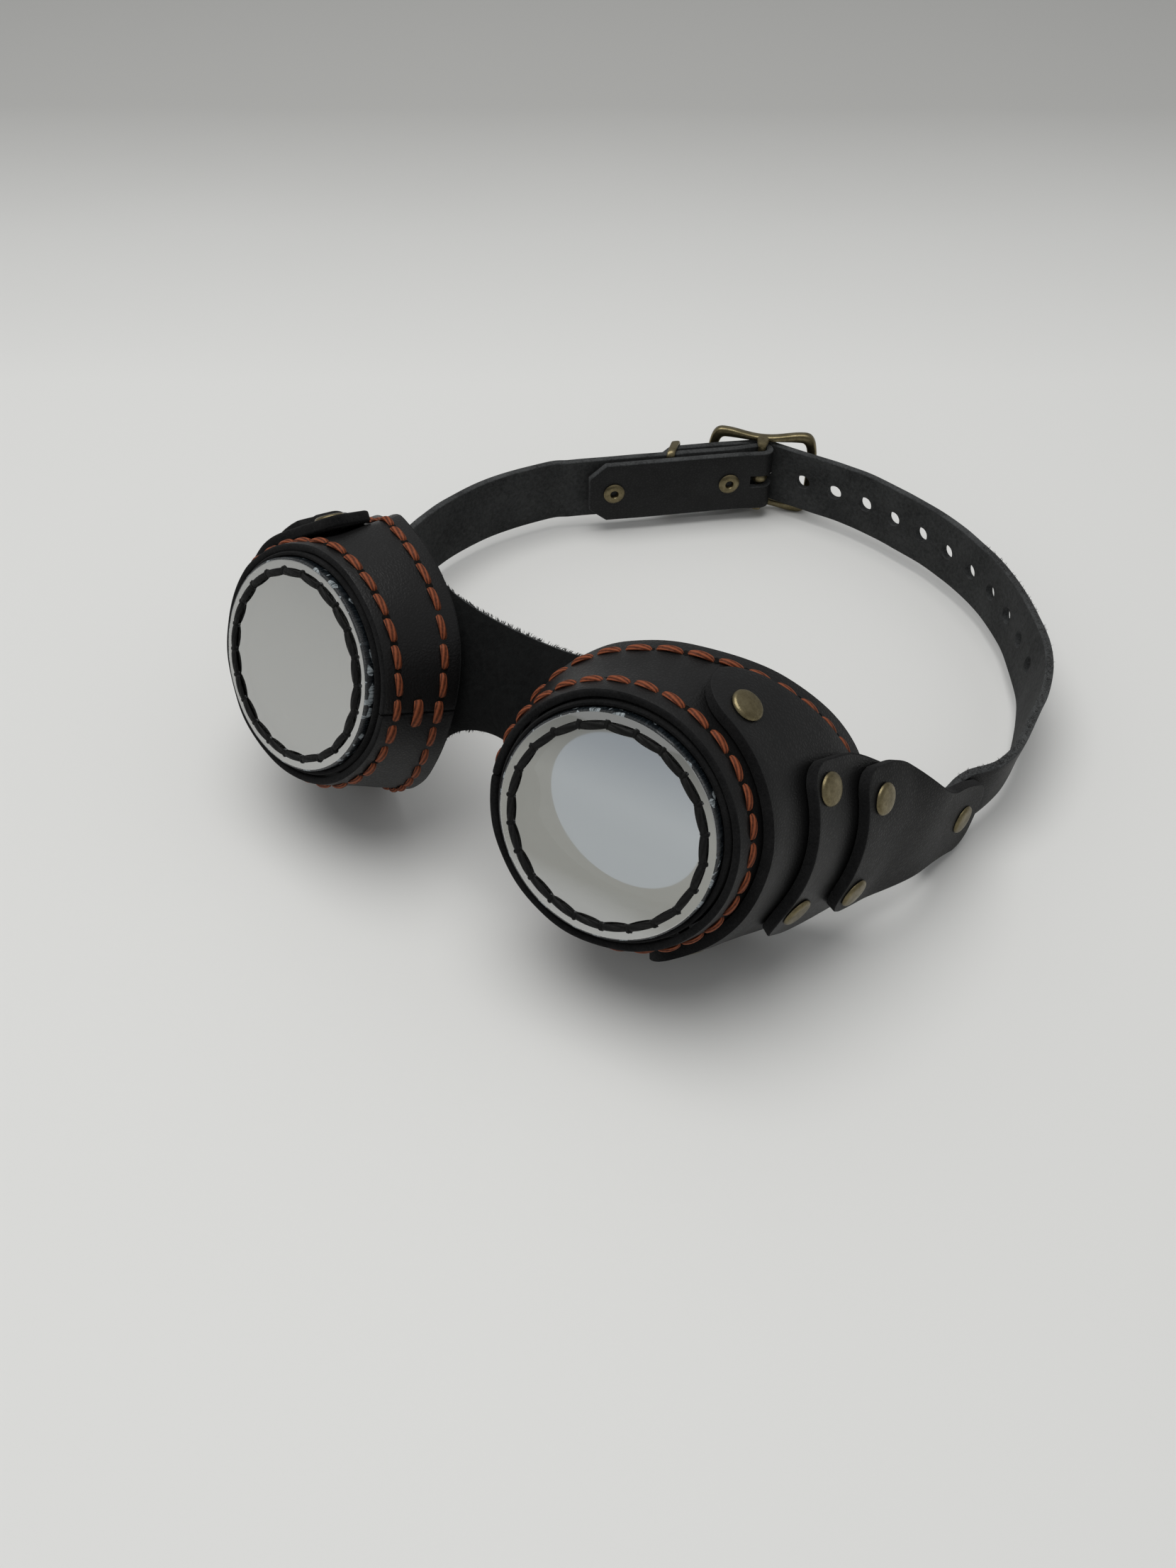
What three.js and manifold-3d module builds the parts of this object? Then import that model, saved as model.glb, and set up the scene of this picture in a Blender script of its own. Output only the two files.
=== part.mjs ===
// Leather pilot goggles: two flared eyecups sewn to a nose bridge, riveted temple overlays
// and a head strap closed by a buckle. Millimetres, +Z up, lenses facing -Y.
import * as THREE from 'three';
import { mergeVertices } from 'three/addons/utils/BufferGeometryUtils.js';
import Module from 'manifold-3d';

// Lenses
const LENS_RADIUS = 25;
const LENS_THICKNESS = 3;
const LENS_SPACING = 88.4;
const LENS_TILT = 22;
const LENS_TOE = 6.9;
const LENS_STITCHES = 22;
const LENS_STITCH_INSET = 3;
const LENS_THREAD = 0.75;

// Eyecup leather
const LEATHER = 2.6;
const GAP = 0.3;
const LENS_CLEARANCE = 0.7;
const WALL_SETBACK = 2;
const WALL_FLARE = 0.26;
const BACK_DEPTH = 34.1;
const BACK_SWING = 15;
const BACK_DROP = 4.9;
const BACK_CURVE = 2.2;
const BACK_SKEW = 1.5;
const BACK_CHEEK = 0.7;
const BACK_BROW = 0.8;
const COLLAR_LEDGE = 4.5;
const COLLAR_THICKNESS = 2.2;
const COLLAR_LENGTH = 7;
const BAND_THICKNESS = 1.8;
const BAND_LENGTH = 7;

// Nose bridge, angles round the cup from the temple
const BRIDGE_TOP_ANGLE = 116;
const BRIDGE_LOW_ANGLE = 210;
const BRIDGE_TOP_HEIGHT = 20;
const BRIDGE_LOW_HEIGHT = -4;
const BRIDGE_BULGE = 3;

// Rust thread rows
const THREAD = 0.85;
const STITCH_RISE = 0.5;
const FRONT_ROW_DEPTH = 6;
const FRONT_ROW_STITCHES = 30;
const BACK_ROW_INSET = 4.5;
const BACK_ROW_STITCHES = 27;
const BACK_ROW_START = 36;
const BACK_ROW_END = 312;
const SEAM_ANGLE = 178;
const SEAM_STITCH_DEPTH = 10.8;
const SEAM_STITCH_LENGTH = 7;

// Side shield, the overlay nearest the cup
const SHIELD_TOP_ANGLE = 74;
const SHIELD_TOP_LEFT = 81;
const SHIELD_LOW_ANGLE = -72;
const SHIELD_FRONT_DEPTH = 9.5;
const SHIELD_BACK_INSET = 7.2;
const SHIELD_CORNER = 8;
const SHIELD_SAG = 0.6;
const SHIELD_LIFT_LEFT = 0.8;
const SHIELD_RIVET_ANGLES = [58, -56];
const SHIELD_RIVET_DEPTH = 16;

// Middle overlay, heights above the cup axis
const MIDDLE_TOP = 20;
const MIDDLE_LOW = -21;
const MIDDLE_DROP = 4.5;
const MIDDLE_DROP_END = 38;
const MIDDLE_TAPER = 6;
const MIDDLE_TAPER_START = 32;
const MIDDLE_FRONT_DEPTH = 17;
const MIDDLE_WAIST = 3;
const MIDDLE_BACK_DEPTH = 54;
const MIDDLE_RIVET_HEIGHTS = [14.5, -14];
const MIDDLE_RIVET_DEPTH = 26;

// Strap tab and its tail
const TAB_TOP = 17.5;
const TAB_LOW = -19.5;
const TAB_FRONT_DEPTH = 31.5;
const TAB_WAIST = 3;
const TAB_TAPER_START = 44;
const TAB_TAPER_END = 74;
const TAB_LOW_TAPER_END = 78;
const TAIL_FLAT_START = 50;
const TAIL_FLAT_END = 70;
const TAB_RIVET_HEIGHTS = [10.5, -12.5];
const TAB_RIVET_DEPTH = 42;
const TAIL_HEIGHT = -5;
const TAIL_WIDTH = 21;
const TAIL_RIVET_DEPTH = 83.5;
const TAIL_BEYOND_RIVET = 9;
const TAIL_FLARE = 6;
const OVERLAY_CORNER = 6;

// Solid rivets
const RIVET_CAP_RADIUS = 4;
const RIVET_CAP_HEIGHT = 1.5;
const RIVET_POST_RADIUS = 1.3;
const RIVET_BACK_RADIUS = 3.4;

// Head strap
const STRAP_WIDTH = 20;
const STRAP_THICKNESS = 2.2;
const STRAP_LEAD = 11;
const SWIVEL_GAP = 0.8;
const HOLE_RADIUS = 2.4;
const HOLE_PITCH = 11.4;
const HOLE_COUNT = 12;
const FOLD_RIVETS = [-49, -11];
const FOLD_RIVET_RADIUS = 3.4;
const FOLD_RIVET_TUBE = 1.8;
const FOLD_RIVET_BORE = 1.1;
const TURN_BACK = 57;
const TIP_LENGTH = 40;
const TIP_STANDOFF = 1.2;
const FOLD_SPLIT = 8;

// Strap route in plan: shares of the strap rivet's sideways distance and of the bar's distance behind it
const ROUTE_RIGHT = [
  [1.028, 0.135], [1.07, 0.254], [1.06, 0.404], [1.0, 0.563], [0.91, 0.676], [0.79, 0.789], [0.613, 0.904],
  [0.388, 0.997], [0.13, 1.05], [0, 1.059], [-0.152, 1.0535],
];
const ROUTE_LEFT = [[1.015, 0.113], [1.015, 0.225], [0.98, 0.376], [0.885, 0.545]];
const BAR_SHARE = -0.309;
const BAR_BEHIND = 106.5;
const SECTION_ANGLE = 45;
const SECTION_LEAD = 6;

// Buckle and keeper
const FRAME_ANGLE = 26;
const FRAME_HALF_LENGTH = 18;
const FRAME_HALF_HEIGHT = 14.35;
const FRAME_WAIST = 12.4;
const FRAME_RAIL = 3.2;
const FRAME_THICKNESS = 2.6;
const BAR_RADIUS = 1.3;
const BAR_RECESS = 4.2;
const BOSS_WIDTH = 3.8;
const TONGUE_WIDTH = 2;
const TONGUE_HEIGHT = 2.6;
const TONGUE_ANGLE = 70;
const KEEPER_AT = -28.5;
const KEEPER_WIDTH = 2.8;
const KEEPER_WALL = 1.2;
const KEEPER_CLEARANCE = 0.3;

const wasm = await Module();
wasm.setup();
const rad = THREE.MathUtils.degToRad;
const lerp = THREE.MathUtils.lerp;
const smooth = THREE.MathUtils.smoothstep;
const vec2 = (x, y) => new THREE.Vector2(x, y);
const vec3 = (x, y, z) => new THREE.Vector3(x, y, z);

function solid(geometry) {
  const plain = geometry.clone();
  plain.deleteAttribute('normal');
  plain.deleteAttribute('uv');
  const merged = mergeVertices(plain, 1e-4);
  const vertProperties = new Float32Array(merged.attributes.position.array);
  const triVerts = new Uint32Array(merged.index.array);
  return new wasm.Manifold(new wasm.Mesh({ numProp: 3, vertProperties, triVerts }));
}

function surfaceOf(manifold) {
  const mesh = manifold.getMesh();
  const geometry = new THREE.BufferGeometry();
  geometry.setAttribute('position', new THREE.BufferAttribute(new Float32Array(mesh.vertProperties), 3));
  geometry.setIndex(new THREE.BufferAttribute(new Uint32Array(mesh.triVerts), 1));
  return geometry;
}

const cut = (geometry, tools) =>
  surfaceOf(tools.reduce((body, tool) => body.subtract(solid(tool)), solid(geometry)));
const join = (geometries) =>
  surfaceOf(geometries.slice(1).reduce((body, other) => body.add(solid(other)), solid(geometries[0])));

// A sheet of leather: a middle surface of u and v with a thickness, closed round u when it is a ring.
function sheet(surface, thickness, stepsU, stepsV, ring = false) {
  const positions = [];
  const index = [];
  const columns = ring ? stepsU : stepsU + 1;
  const h = 1e-3;
  for (const face of [1, -1]) {
    for (let i = 0; i < columns; i++) {
      for (let j = 0; j <= stepsV; j++) {
        const u = i / stepsU;
        const v = j / stepsV;
        const alongU = surface(u + h, v).sub(surface(u - h, v));
        const alongV = surface(u, v + h).sub(surface(u, v - h));
        const normal = alongU.cross(alongV).normalize();
        positions.push(...surface(u, v).addScaledVector(normal, face * thickness / 2).toArray());
      }
    }
  }
  const at = (face, i, j) => (face * columns + i % columns) * (stepsV + 1) + j;
  const quad = (a, b, c, d) => index.push(a, b, c, a, c, d);
  for (let i = 0; i < stepsU; i++) {
    for (let j = 0; j < stepsV; j++) {
      quad(at(0, i, j), at(0, i + 1, j), at(0, i + 1, j + 1), at(0, i, j + 1));
      quad(at(1, i, j), at(1, i, j + 1), at(1, i + 1, j + 1), at(1, i + 1, j));
    }
    quad(at(0, i + 1, 0), at(0, i, 0), at(1, i, 0), at(1, i + 1, 0));
    quad(at(0, i, stepsV), at(0, i + 1, stepsV), at(1, i + 1, stepsV), at(1, i, stepsV));
  }
  for (let j = 0; j < stepsV && !ring; j++) {
    quad(at(0, 0, j), at(0, 0, j + 1), at(1, 0, j + 1), at(1, 0, j));
    quad(at(0, stepsU, j + 1), at(0, stepsU, j), at(1, stepsU, j), at(1, stepsU, j + 1));
  }
  const geometry = new THREE.BufferGeometry();
  geometry.setAttribute('position', new THREE.BufferAttribute(new Float32Array(positions), 3));
  geometry.setIndex(index);
  return geometry;
}

function mirrored(geometry) {
  const copy = mergeVertices(geometry.clone(), 1e-5);
  copy.scale(-1, 1, 1);
  const index = copy.index.array;
  for (let i = 0; i < index.length; i += 3) {
    [index[i], index[i + 1]] = [index[i + 1], index[i]];
  }
  return copy;
}

// A round thread along a path of points
function thread(points, radius, stepsPerPoint) {
  const section = new THREE.Shape();
  section.absarc(0, 0, radius, 0, Math.PI * 2);
  const extrudePath = new THREE.CatmullRomCurve3(points);
  const steps = (points.length - 1) * stepsPerPoint;
  const geometry = new THREE.ExtrudeGeometry(section, { steps, extrudePath, curveSegments: 2, bevelEnabled: false });
  geometry.deleteAttribute('normal');
  geometry.deleteAttribute('uv');
  return mergeVertices(geometry, 1e-4);
}

// A body turned round +Z from a closed outline of [radius, height]
function turned(outline, segments) {
  const profile = outline.map(([r, z]) => vec2(r, z)).reverse();
  const geometry = new THREE.LatheGeometry(profile, segments);
  geometry.rotateX(Math.PI / 2);
  geometry.deleteAttribute('normal');
  geometry.deleteAttribute('uv');
  return mergeVertices(geometry, 1e-4);
}

const frameAt = (origin, axis) =>
  new THREE.Matrix4().compose(
    origin,
    new THREE.Quaternion().setFromUnitVectors(vec3(0, 0, 1), axis),
    vec3(1, 1, 1),
  );

function rivet(origin, axis, stack) {
  const under = 0.25;
  const back = -stack - 0.4;
  const outline = [
    [0, under + RIVET_CAP_HEIGHT], [RIVET_CAP_RADIUS * 0.6, under + RIVET_CAP_HEIGHT * 0.85],
    [RIVET_CAP_RADIUS, under + 0.35], [RIVET_CAP_RADIUS, under], [RIVET_POST_RADIUS, under],
    [RIVET_POST_RADIUS, back], [RIVET_BACK_RADIUS, back], [RIVET_BACK_RADIUS, back - 0.7], [0, back - 1],
  ];
  return turned(outline, 10).applyMatrix4(frameAt(origin, axis));
}

function rivetHole(origin, axis, radius) {
  const geometry = new THREE.CylinderGeometry(radius, radius, 40, 6);
  geometry.rotateX(Math.PI / 2);
  return geometry.applyMatrix4(frameAt(origin, axis));
}

// Cup frame: x to the temple, y up, z out of the lens, depths measured back from the lens face
const wallRadius = (depth) => LENS_RADIUS + LENS_CLEARANCE + LEATHER + WALL_FLARE * (depth - WALL_SETBACK);
const wallNormal = (angle) => vec3(Math.cos(angle), Math.sin(angle), WALL_FLARE).normalize();
const backEdge = (angle) =>
  BACK_DEPTH + BACK_SWING * Math.cos(angle) - BACK_DROP * Math.sin(angle)
  + BACK_CURVE * Math.cos(2 * angle) - BACK_SKEW * Math.sin(2 * angle)
  + BACK_CHEEK * Math.cos(3 * angle) + BACK_BROW * Math.sin(3 * angle);

function onWall(angle, depth, offset) {
  const r = wallRadius(depth);
  return vec3(r * Math.cos(angle), r * Math.sin(angle), -depth).addScaledVector(wallNormal(angle), offset);
}

const layer = LEATHER + GAP;
const shieldOffset = GAP + LEATHER / 2;
const middleOffset = shieldOffset + layer;
const tabOffset = middleOffset + layer;

const cupMatrix = (side) =>
  new THREE.Matrix4()
    .makeRotationFromEuler(new THREE.Euler(Math.PI / 2 - rad(LENS_TILT), 0, side * rad(LENS_TOE), 'ZYX'))
    .setPosition(side * LENS_SPACING / 2, 0, 0);

// The tail lies in an upright plane that leaves the cup at TAIL_FLARE
const tailNormal = vec3(Math.cos(rad(TAIL_FLARE)), -Math.sin(rad(TAIL_FLARE)), 0);
const tailNormalInCup = tailNormal.clone().transformDirection(cupMatrix(1).invert());
const coneX = (depth, height, offset) => {
  const r = wallRadius(depth) + offset * Math.hypot(1, WALL_FLARE);
  return Math.sqrt(Math.max(r * r - height * height, 1));
};
const tailX = (depth, height) =>
  coneX(TAIL_RIVET_DEPTH, TAIL_HEIGHT, tabOffset)
  + (tailNormalInCup.z * (depth - TAIL_RIVET_DEPTH) - tailNormalInCup.y * (height - TAIL_HEIGHT))
  / tailNormalInCup.x;

// How far an edge draws back towards a rounded corner, for a distance from the end
const cornerDraw = (distance, radius) => {
  const t = 1 - Math.min(Math.max(distance / radius, 0), 1);
  return radius * (1 - Math.sqrt(1 - Math.min(t * t, 0.98)));
};

function shield(topDegrees, lift) {
  const top = rad(topDegrees);
  const low = rad(SHIELD_LOW_ANGLE);
  const surface = (u, v) => {
    const angle = lerp(top, low, u);
    const fromEnd = Math.min(top - angle, angle - low) * wallRadius(SHIELD_FRONT_DEPTH);
    const draw = cornerDraw(fromEnd, SHIELD_CORNER);
    const front = SHIELD_FRONT_DEPTH + draw;
    const back = backEdge(angle) - SHIELD_BACK_INSET - draw * 0.5;
    const sag = SHIELD_SAG * smooth(-angle, rad(50), rad(-SHIELD_LOW_ANGLE));
    const free = lift * smooth(angle, top - rad(9), top);
    return onWall(angle, lerp(front, back, v), shieldOffset + sag + free);
  };
  return sheet(surface, LEATHER, 26, 1);
}

function middleOverlay() {
  const surface = (u, v) => {
    const fromEnd = Math.min(v, 1 - v) * (MIDDLE_TOP - MIDDLE_LOW);
    const waist = MIDDLE_WAIST * (1 - (2 * v - 1) ** 2);
    const front = MIDDLE_FRONT_DEPTH + waist + cornerDraw(fromEnd, OVERLAY_CORNER);
    const depth = lerp(front, MIDDLE_BACK_DEPTH, u);
    const taper = MIDDLE_TAPER * smooth(depth, MIDDLE_TAPER_START, MIDDLE_BACK_DEPTH);
    const low = MIDDLE_LOW - MIDDLE_DROP * smooth(depth, MIDDLE_FRONT_DEPTH, MIDDLE_DROP_END);
    const height = lerp(low + taper, MIDDLE_TOP - taper, v);
    return vec3(coneX(depth, height, middleOffset), height, -depth);
  };
  return sheet(surface, LEATHER, 3, 12);
}

function strapTab() {
  const end = TAIL_RIVET_DEPTH + TAIL_BEYOND_RIVET;
  const surface = (u, v) => {
    const fromEnd = Math.min(v, 1 - v) * (TAB_TOP - TAB_LOW);
    const waist = TAB_WAIST * (1 - (2 * v - 1) ** 2);
    const front = TAB_FRONT_DEPTH + waist + cornerDraw(fromEnd, OVERLAY_CORNER);
    const clip = cornerDraw(fromEnd * TAIL_WIDTH / (TAB_TOP - TAB_LOW), OVERLAY_CORNER);
    const depth = lerp(front, end - clip, u);
    const top = lerp(TAB_TOP, TAIL_HEIGHT + TAIL_WIDTH / 2, smooth(depth, TAB_TAPER_START, TAB_TAPER_END));
    const low = lerp(TAB_LOW, TAIL_HEIGHT - TAIL_WIDTH / 2, smooth(depth, TAB_TAPER_START, TAB_LOW_TAPER_END));
    const height = lerp(low, top, v);
    const flat = smooth(depth, TAIL_FLAT_START, TAIL_FLAT_END);
    const x = lerp(coneX(depth, height, tabOffset), tailX(depth, height), flat);
    return vec3(x, height, -depth);
  };
  return sheet(surface, LEATHER, 11, 10);
}

const threadOffset = THREAD + GAP;
const stitchWave = (k) => (k % 2 === 0 ? 0 : STITCH_RISE);

function cupParts(side) {
  const angleOf = (height, depth, offset) => Math.asin(height / (wallRadius(depth) + offset));
  const fixings = [];
  const fix = (name, angle, depth, offset, stack, layers) => {
    const origin = onWall(angle, depth, offset);
    fixings.push({ name, origin, axis: wallNormal(angle), stack, layers });
  };
  const longer = side < 0 ? SHIELD_TOP_LEFT - SHIELD_TOP_ANGLE : 0;
  SHIELD_RIVET_ANGLES.forEach((standard, i) => {
    const degrees = standard + (i === 0 ? longer : 0);
    const sag = i === 1 ? SHIELD_SAG * smooth(-rad(degrees), rad(50), rad(-SHIELD_LOW_ANGLE)) : 0;
    const stack = LEATHER + layer + sag;
    fix(`shield_rivet_${i + 1}`, rad(degrees), SHIELD_RIVET_DEPTH, layer + sag, stack, ['cup_wall', 'side_shield']);
  });
  MIDDLE_RIVET_HEIGHTS.forEach((height, i) => {
    const angle = angleOf(height, MIDDLE_RIVET_DEPTH, middleOffset);
    const layers = ['cup_wall', 'side_shield', 'middle_overlay'];
    fix(`middle_rivet_${i + 1}`, angle, MIDDLE_RIVET_DEPTH, 2 * layer, LEATHER + 2 * layer, layers);
  });
  TAB_RIVET_HEIGHTS.forEach((height, i) => {
    const angle = angleOf(height, TAB_RIVET_DEPTH, tabOffset);
    const layers = ['cup_wall', 'side_shield', 'middle_overlay', 'strap_tab', 'face_band'];
    const stack = LEATHER + 3 * layer + BAND_THICKNESS + GAP;
    fix(`tab_rivet_${i + 1}`, angle, TAB_RIVET_DEPTH, 3 * layer, stack, layers);
  });

  const wallSurface = (u, v) => {
    const angle = u * Math.PI * 2;
    return onWall(angle, lerp(WALL_SETBACK, backEdge(angle), v), -LEATHER / 2);
  };
  const innerRadius = (depth) => wallRadius(depth) - (LEATHER + GAP) * Math.hypot(1, WALL_FLARE);
  const seat = LENS_THICKNESS + GAP;
  const collarEnd = seat + COLLAR_LENGTH;
  const collar = turned([
    [LENS_RADIUS - COLLAR_LEDGE, -seat], [innerRadius(seat), -seat], [innerRadius(collarEnd), -collarEnd],
    [innerRadius(collarEnd) - COLLAR_THICKNESS, -collarEnd],
    [innerRadius(seat + COLLAR_THICKNESS) - COLLAR_THICKNESS, -seat - COLLAR_THICKNESS],
    [LENS_RADIUS - COLLAR_LEDGE, -seat - COLLAR_THICKNESS], [LENS_RADIUS - COLLAR_LEDGE, -seat],
  ], 36);
  const lens = turned([
    [0, 0], [LENS_RADIUS - 0.3, 0], [LENS_RADIUS, -0.3],
    [LENS_RADIUS, -LENS_THICKNESS], [0, -LENS_THICKNESS],
  ], 40);

  const lensRow = [];
  for (let k = 0; k <= LENS_STITCHES * 2; k++) {
    const angle = rad(SEAM_ANGLE) + (k / (LENS_STITCHES * 2)) * (Math.PI * 2 - 0.1);
    const r = LENS_RADIUS - LENS_STITCH_INSET;
    lensRow.push(vec3(r * Math.cos(angle), r * Math.sin(angle), LENS_THREAD + GAP + stitchWave(k) * 0.5));
  }
  const frontRow = [];
  for (let k = 0; k <= FRONT_ROW_STITCHES * 2; k++) {
    const angle = rad(SEAM_ANGLE + 2) + (k / (FRONT_ROW_STITCHES * 2)) * (Math.PI * 2 - 0.1);
    frontRow.push(onWall(angle, FRONT_ROW_DEPTH, threadOffset + stitchWave(k)));
  }
  const backRow = [];
  for (let k = 0; k <= BACK_ROW_STITCHES * 2; k++) {
    const angle = rad(lerp(BACK_ROW_START, BACK_ROW_END, k / (BACK_ROW_STITCHES * 2)));
    backRow.push(onWall(angle, backEdge(angle) - BACK_ROW_INSET, threadOffset + stitchWave(k)));
  }
  const seamHalf = SEAM_STITCH_LENGTH / 2 / wallRadius(SEAM_STITCH_DEPTH);
  const seamRow = [-1, -0.5, 0, 0.5, 1].map((k) =>
    onWall(rad(SEAM_ANGLE) + k * seamHalf, SEAM_STITCH_DEPTH, threadOffset + 0.4 * (1 - k * k)));

  const geometry = {
    cup_wall: sheet(wallSurface, LEATHER, 40, 1, true),
    side_shield: side < 0 ? shield(SHIELD_TOP_LEFT, SHIELD_LIFT_LEFT) : shield(SHIELD_TOP_ANGLE, 0),
    middle_overlay: middleOverlay(),
    strap_tab: strapTab(),
  };
  for (const name of Object.keys(geometry)) {
    const tools = fixings
      .filter((fixing) => fixing.layers.includes(name))
      .map((fixing) => rivetHole(fixing.origin, fixing.axis, RIVET_POST_RADIUS + GAP));
    if (name === 'strap_tab') {
      const tail = vec3(tailX(TAIL_RIVET_DEPTH, TAIL_HEIGHT), TAIL_HEIGHT, -TAIL_RIVET_DEPTH);
      tools.push(rivetHole(tail, tailNormalInCup, RIVET_POST_RADIUS + GAP));
    }
    geometry[name] = cut(geometry[name], tools);
  }
  geometry.lens_collar = collar;
  geometry.lens = lens;
  geometry.lens_thread = thread(lensRow, LENS_THREAD, 1);
  geometry.front_seam_thread = thread(frontRow, THREAD, 1);
  geometry.back_seam_thread = thread(backRow, THREAD, 1);
  geometry.seam_stitch = thread(seamRow, THREAD, 1);
  for (const { name, origin, axis, stack } of fixings) {
    geometry[name] = rivet(origin, axis, stack);
  }
  const tailOuter = vec3(tailX(TAIL_RIVET_DEPTH, TAIL_HEIGHT), TAIL_HEIGHT, -TAIL_RIVET_DEPTH)
    .addScaledVector(tailNormalInCup, LEATHER / 2);
  geometry.tail_rivet = rivet(tailOuter, tailNormalInCup, LEATHER + SWIVEL_GAP + STRAP_THICKNESS + 0.2);
  return { geometry, fixings };
}

// Facing band inside both cups with the bridge that joins them over the nose
function faceBand(bandHoles) {
  const offset = -LEATHER - GAP - BAND_THICKNESS / 2;
  const ringSurface = (u, v) => {
    const angle = u * Math.PI * 2;
    return onWall(angle, backEdge(angle) - lerp(BAND_LENGTH, 0.2, v), offset);
  };
  const ring = cut(sheet(ringSurface, BAND_THICKNESS, 36, 1, true), bandHoles);
  const right = ring.clone().applyMatrix4(cupMatrix(1));
  const left = mirrored(ring).applyMatrix4(cupMatrix(-1));
  const wing = (w, beyond) => {
    const angle = rad(lerp(BRIDGE_LOW_ANGLE, BRIDGE_TOP_ANGLE, w));
    return onWall(angle, backEdge(angle) + beyond, offset).applyMatrix4(cupMatrix(1));
  };
  const mirror = (p) => vec3(-p.x, p.y, p.z);
  const upward = vec3(0, Math.sin(rad(LENS_TILT)), Math.cos(rad(LENS_TILT)));
  const surface = (u, w) => {
    const half = Math.abs(2 * u - 1);
    const root = wing(w, -3);
    const edge = wing(w, 0.9);
    const out = wing(w, 0.9 + BRIDGE_BULGE);
    const target = lerp(BRIDGE_LOW_HEIGHT, BRIDGE_TOP_HEIGHT, w);
    const rise = (target - edge.dot(upward)) / 0.75;
    const control = out.clone().addScaledVector(upward, rise);
    const arch = new THREE.CubicBezierCurve3(edge, control, mirror(control), mirror(edge));
    const point = half > 0.75
      ? root.clone().lerp(edge, (1 - half) / 0.25)
      : arch.getPoint(0.5 - half / 1.5);
    return u < 0.5 ? mirror(point) : point;
  };
  const bridge = sheet(surface, BAND_THICKNESS - 0.2, 16, 5);
  return join([right, left, bridge]);
}

// Strap plan: where the tail rivets are, and the straight doubled section before the buckle bar
const tailPoint = (side) =>
  vec3(side * tailX(TAIL_RIVET_DEPTH, TAIL_HEIGHT), TAIL_HEIGHT, -TAIL_RIVET_DEPTH).applyMatrix4(cupMatrix(side));
const strapInset = LEATHER / 2 + SWIVEL_GAP + STRAP_THICKNESS / 2;
const strapHeight = tailPoint(1).z;
const anchor = vec2(
  tailPoint(1).x - strapInset * Math.cos(rad(TAIL_FLARE)),
  tailPoint(1).y + strapInset * Math.sin(rad(TAIL_FLARE)),
);
const leaving = vec2(Math.sin(rad(TAIL_FLARE)), Math.cos(rad(TAIL_FLARE)));
const barCentre = vec2(BAR_SHARE * anchor.x, anchor.y + BAR_BEHIND);
const sectionAlong = vec2(Math.cos(rad(SECTION_ANGLE)), Math.sin(rad(SECTION_ANGLE)));
const sectionOut = vec2(-sectionAlong.y, sectionAlong.x);
const inSection = (along, out) =>
  barCentre.clone().addScaledVector(sectionAlong, along).addScaledVector(sectionOut, out);
const layerHalf = (STRAP_THICKNESS + KEEPER_WALL + 2 * KEEPER_CLEARANCE) / 2;
const foldRadius = BAR_RADIUS + GAP + STRAP_THICKNESS / 2;
const overFold = foldRadius + STRAP_THICKNESS + GAP;
const tipOut = layerHalf + STRAP_THICKNESS + TIP_STANDOFF;
const aroundBar = (degrees, radius) =>
  barCentre.clone().add(vec2(Math.cos(rad(degrees)), Math.sin(rad(degrees))).multiplyScalar(radius));

function strapStart(side, route) {
  const flip = (p) => vec2(side * p.x, p.y);
  const points = [-STRAP_LEAD, -STRAP_LEAD / 2, 0, 5].map((d) => anchor.clone().addScaledVector(leaving, d));
  points.push(...route.map(([share, behind]) => vec2(share * anchor.x, anchor.y + behind * BAR_BEHIND)));
  return points.map(flip);
}

function band(path) {
  const outer = [];
  const inner = [];
  path.forEach((point, i) => {
    const before = path[Math.max(i - 1, 0)];
    const after = path[Math.min(i + 1, path.length - 1)];
    const along = after.clone().sub(before).normalize();
    const across = vec2(-along.y, along.x).multiplyScalar(STRAP_THICKNESS / 2);
    outer.push(point.clone().add(across));
    inner.push(point.clone().sub(across));
  });
  const shape = new THREE.Shape([...outer, ...inner.reverse()]);
  const geometry = new THREE.ExtrudeGeometry(shape, { depth: STRAP_WIDTH, bevelEnabled: false });
  return geometry.translate(0, 0, strapHeight - STRAP_WIDTH / 2);
}

function strapHole(point, direction, radius) {
  const axis = vec3(-direction.y, direction.x, 0);
  const geometry = new THREE.CylinderGeometry(radius, radius, 8, 8);
  geometry.rotateX(Math.PI / 2);
  return geometry.applyMatrix4(frameAt(vec3(point.x, point.y, strapHeight), axis));
}

const pivotHole = (side) => {
  const axis = vec3(side * tailNormal.x, tailNormal.y, 0);
  return rivetHole(vec3(side * anchor.x, anchor.y, strapHeight), axis, RIVET_POST_RADIUS + 0.6);
};

function strapLeft() {
  const start = new THREE.SplineCurve([
    ...strapStart(-1, ROUTE_LEFT), inSection(-TURN_BACK - SECTION_LEAD, layerHalf), inSection(-TURN_BACK, layerHalf),
  ]);
  const path = start.getSpacedPoints(24);
  path.push(inSection(-TURN_BACK / 2, layerHalf), inSection(-FOLD_SPLIT, layerHalf));
  for (let k = 0; k <= 8; k++) {
    path.push(aroundBar(SECTION_ANGLE + 90 - k * 22.5, foldRadius));
  }
  path.push(inSection(-FOLD_SPLIT, -layerHalf), inSection(-TURN_BACK / 2, -layerHalf));
  path.push(inSection(-TURN_BACK, -layerHalf));
  const slot = new THREE.BoxGeometry(11, 14, TONGUE_HEIGHT + 1.6);
  slot.rotateZ(rad(SECTION_ANGLE));
  const slotAt = inSection(1.5, 0);
  slot.translate(slotAt.x, slotAt.y, strapHeight);
  const holes = FOLD_RIVETS.map((along) => strapHole(inSection(along, 0), sectionAlong, FOLD_RIVET_TUBE + GAP));
  return cut(band(path), [slot, pivotHole(-1), ...holes]);
}

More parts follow.
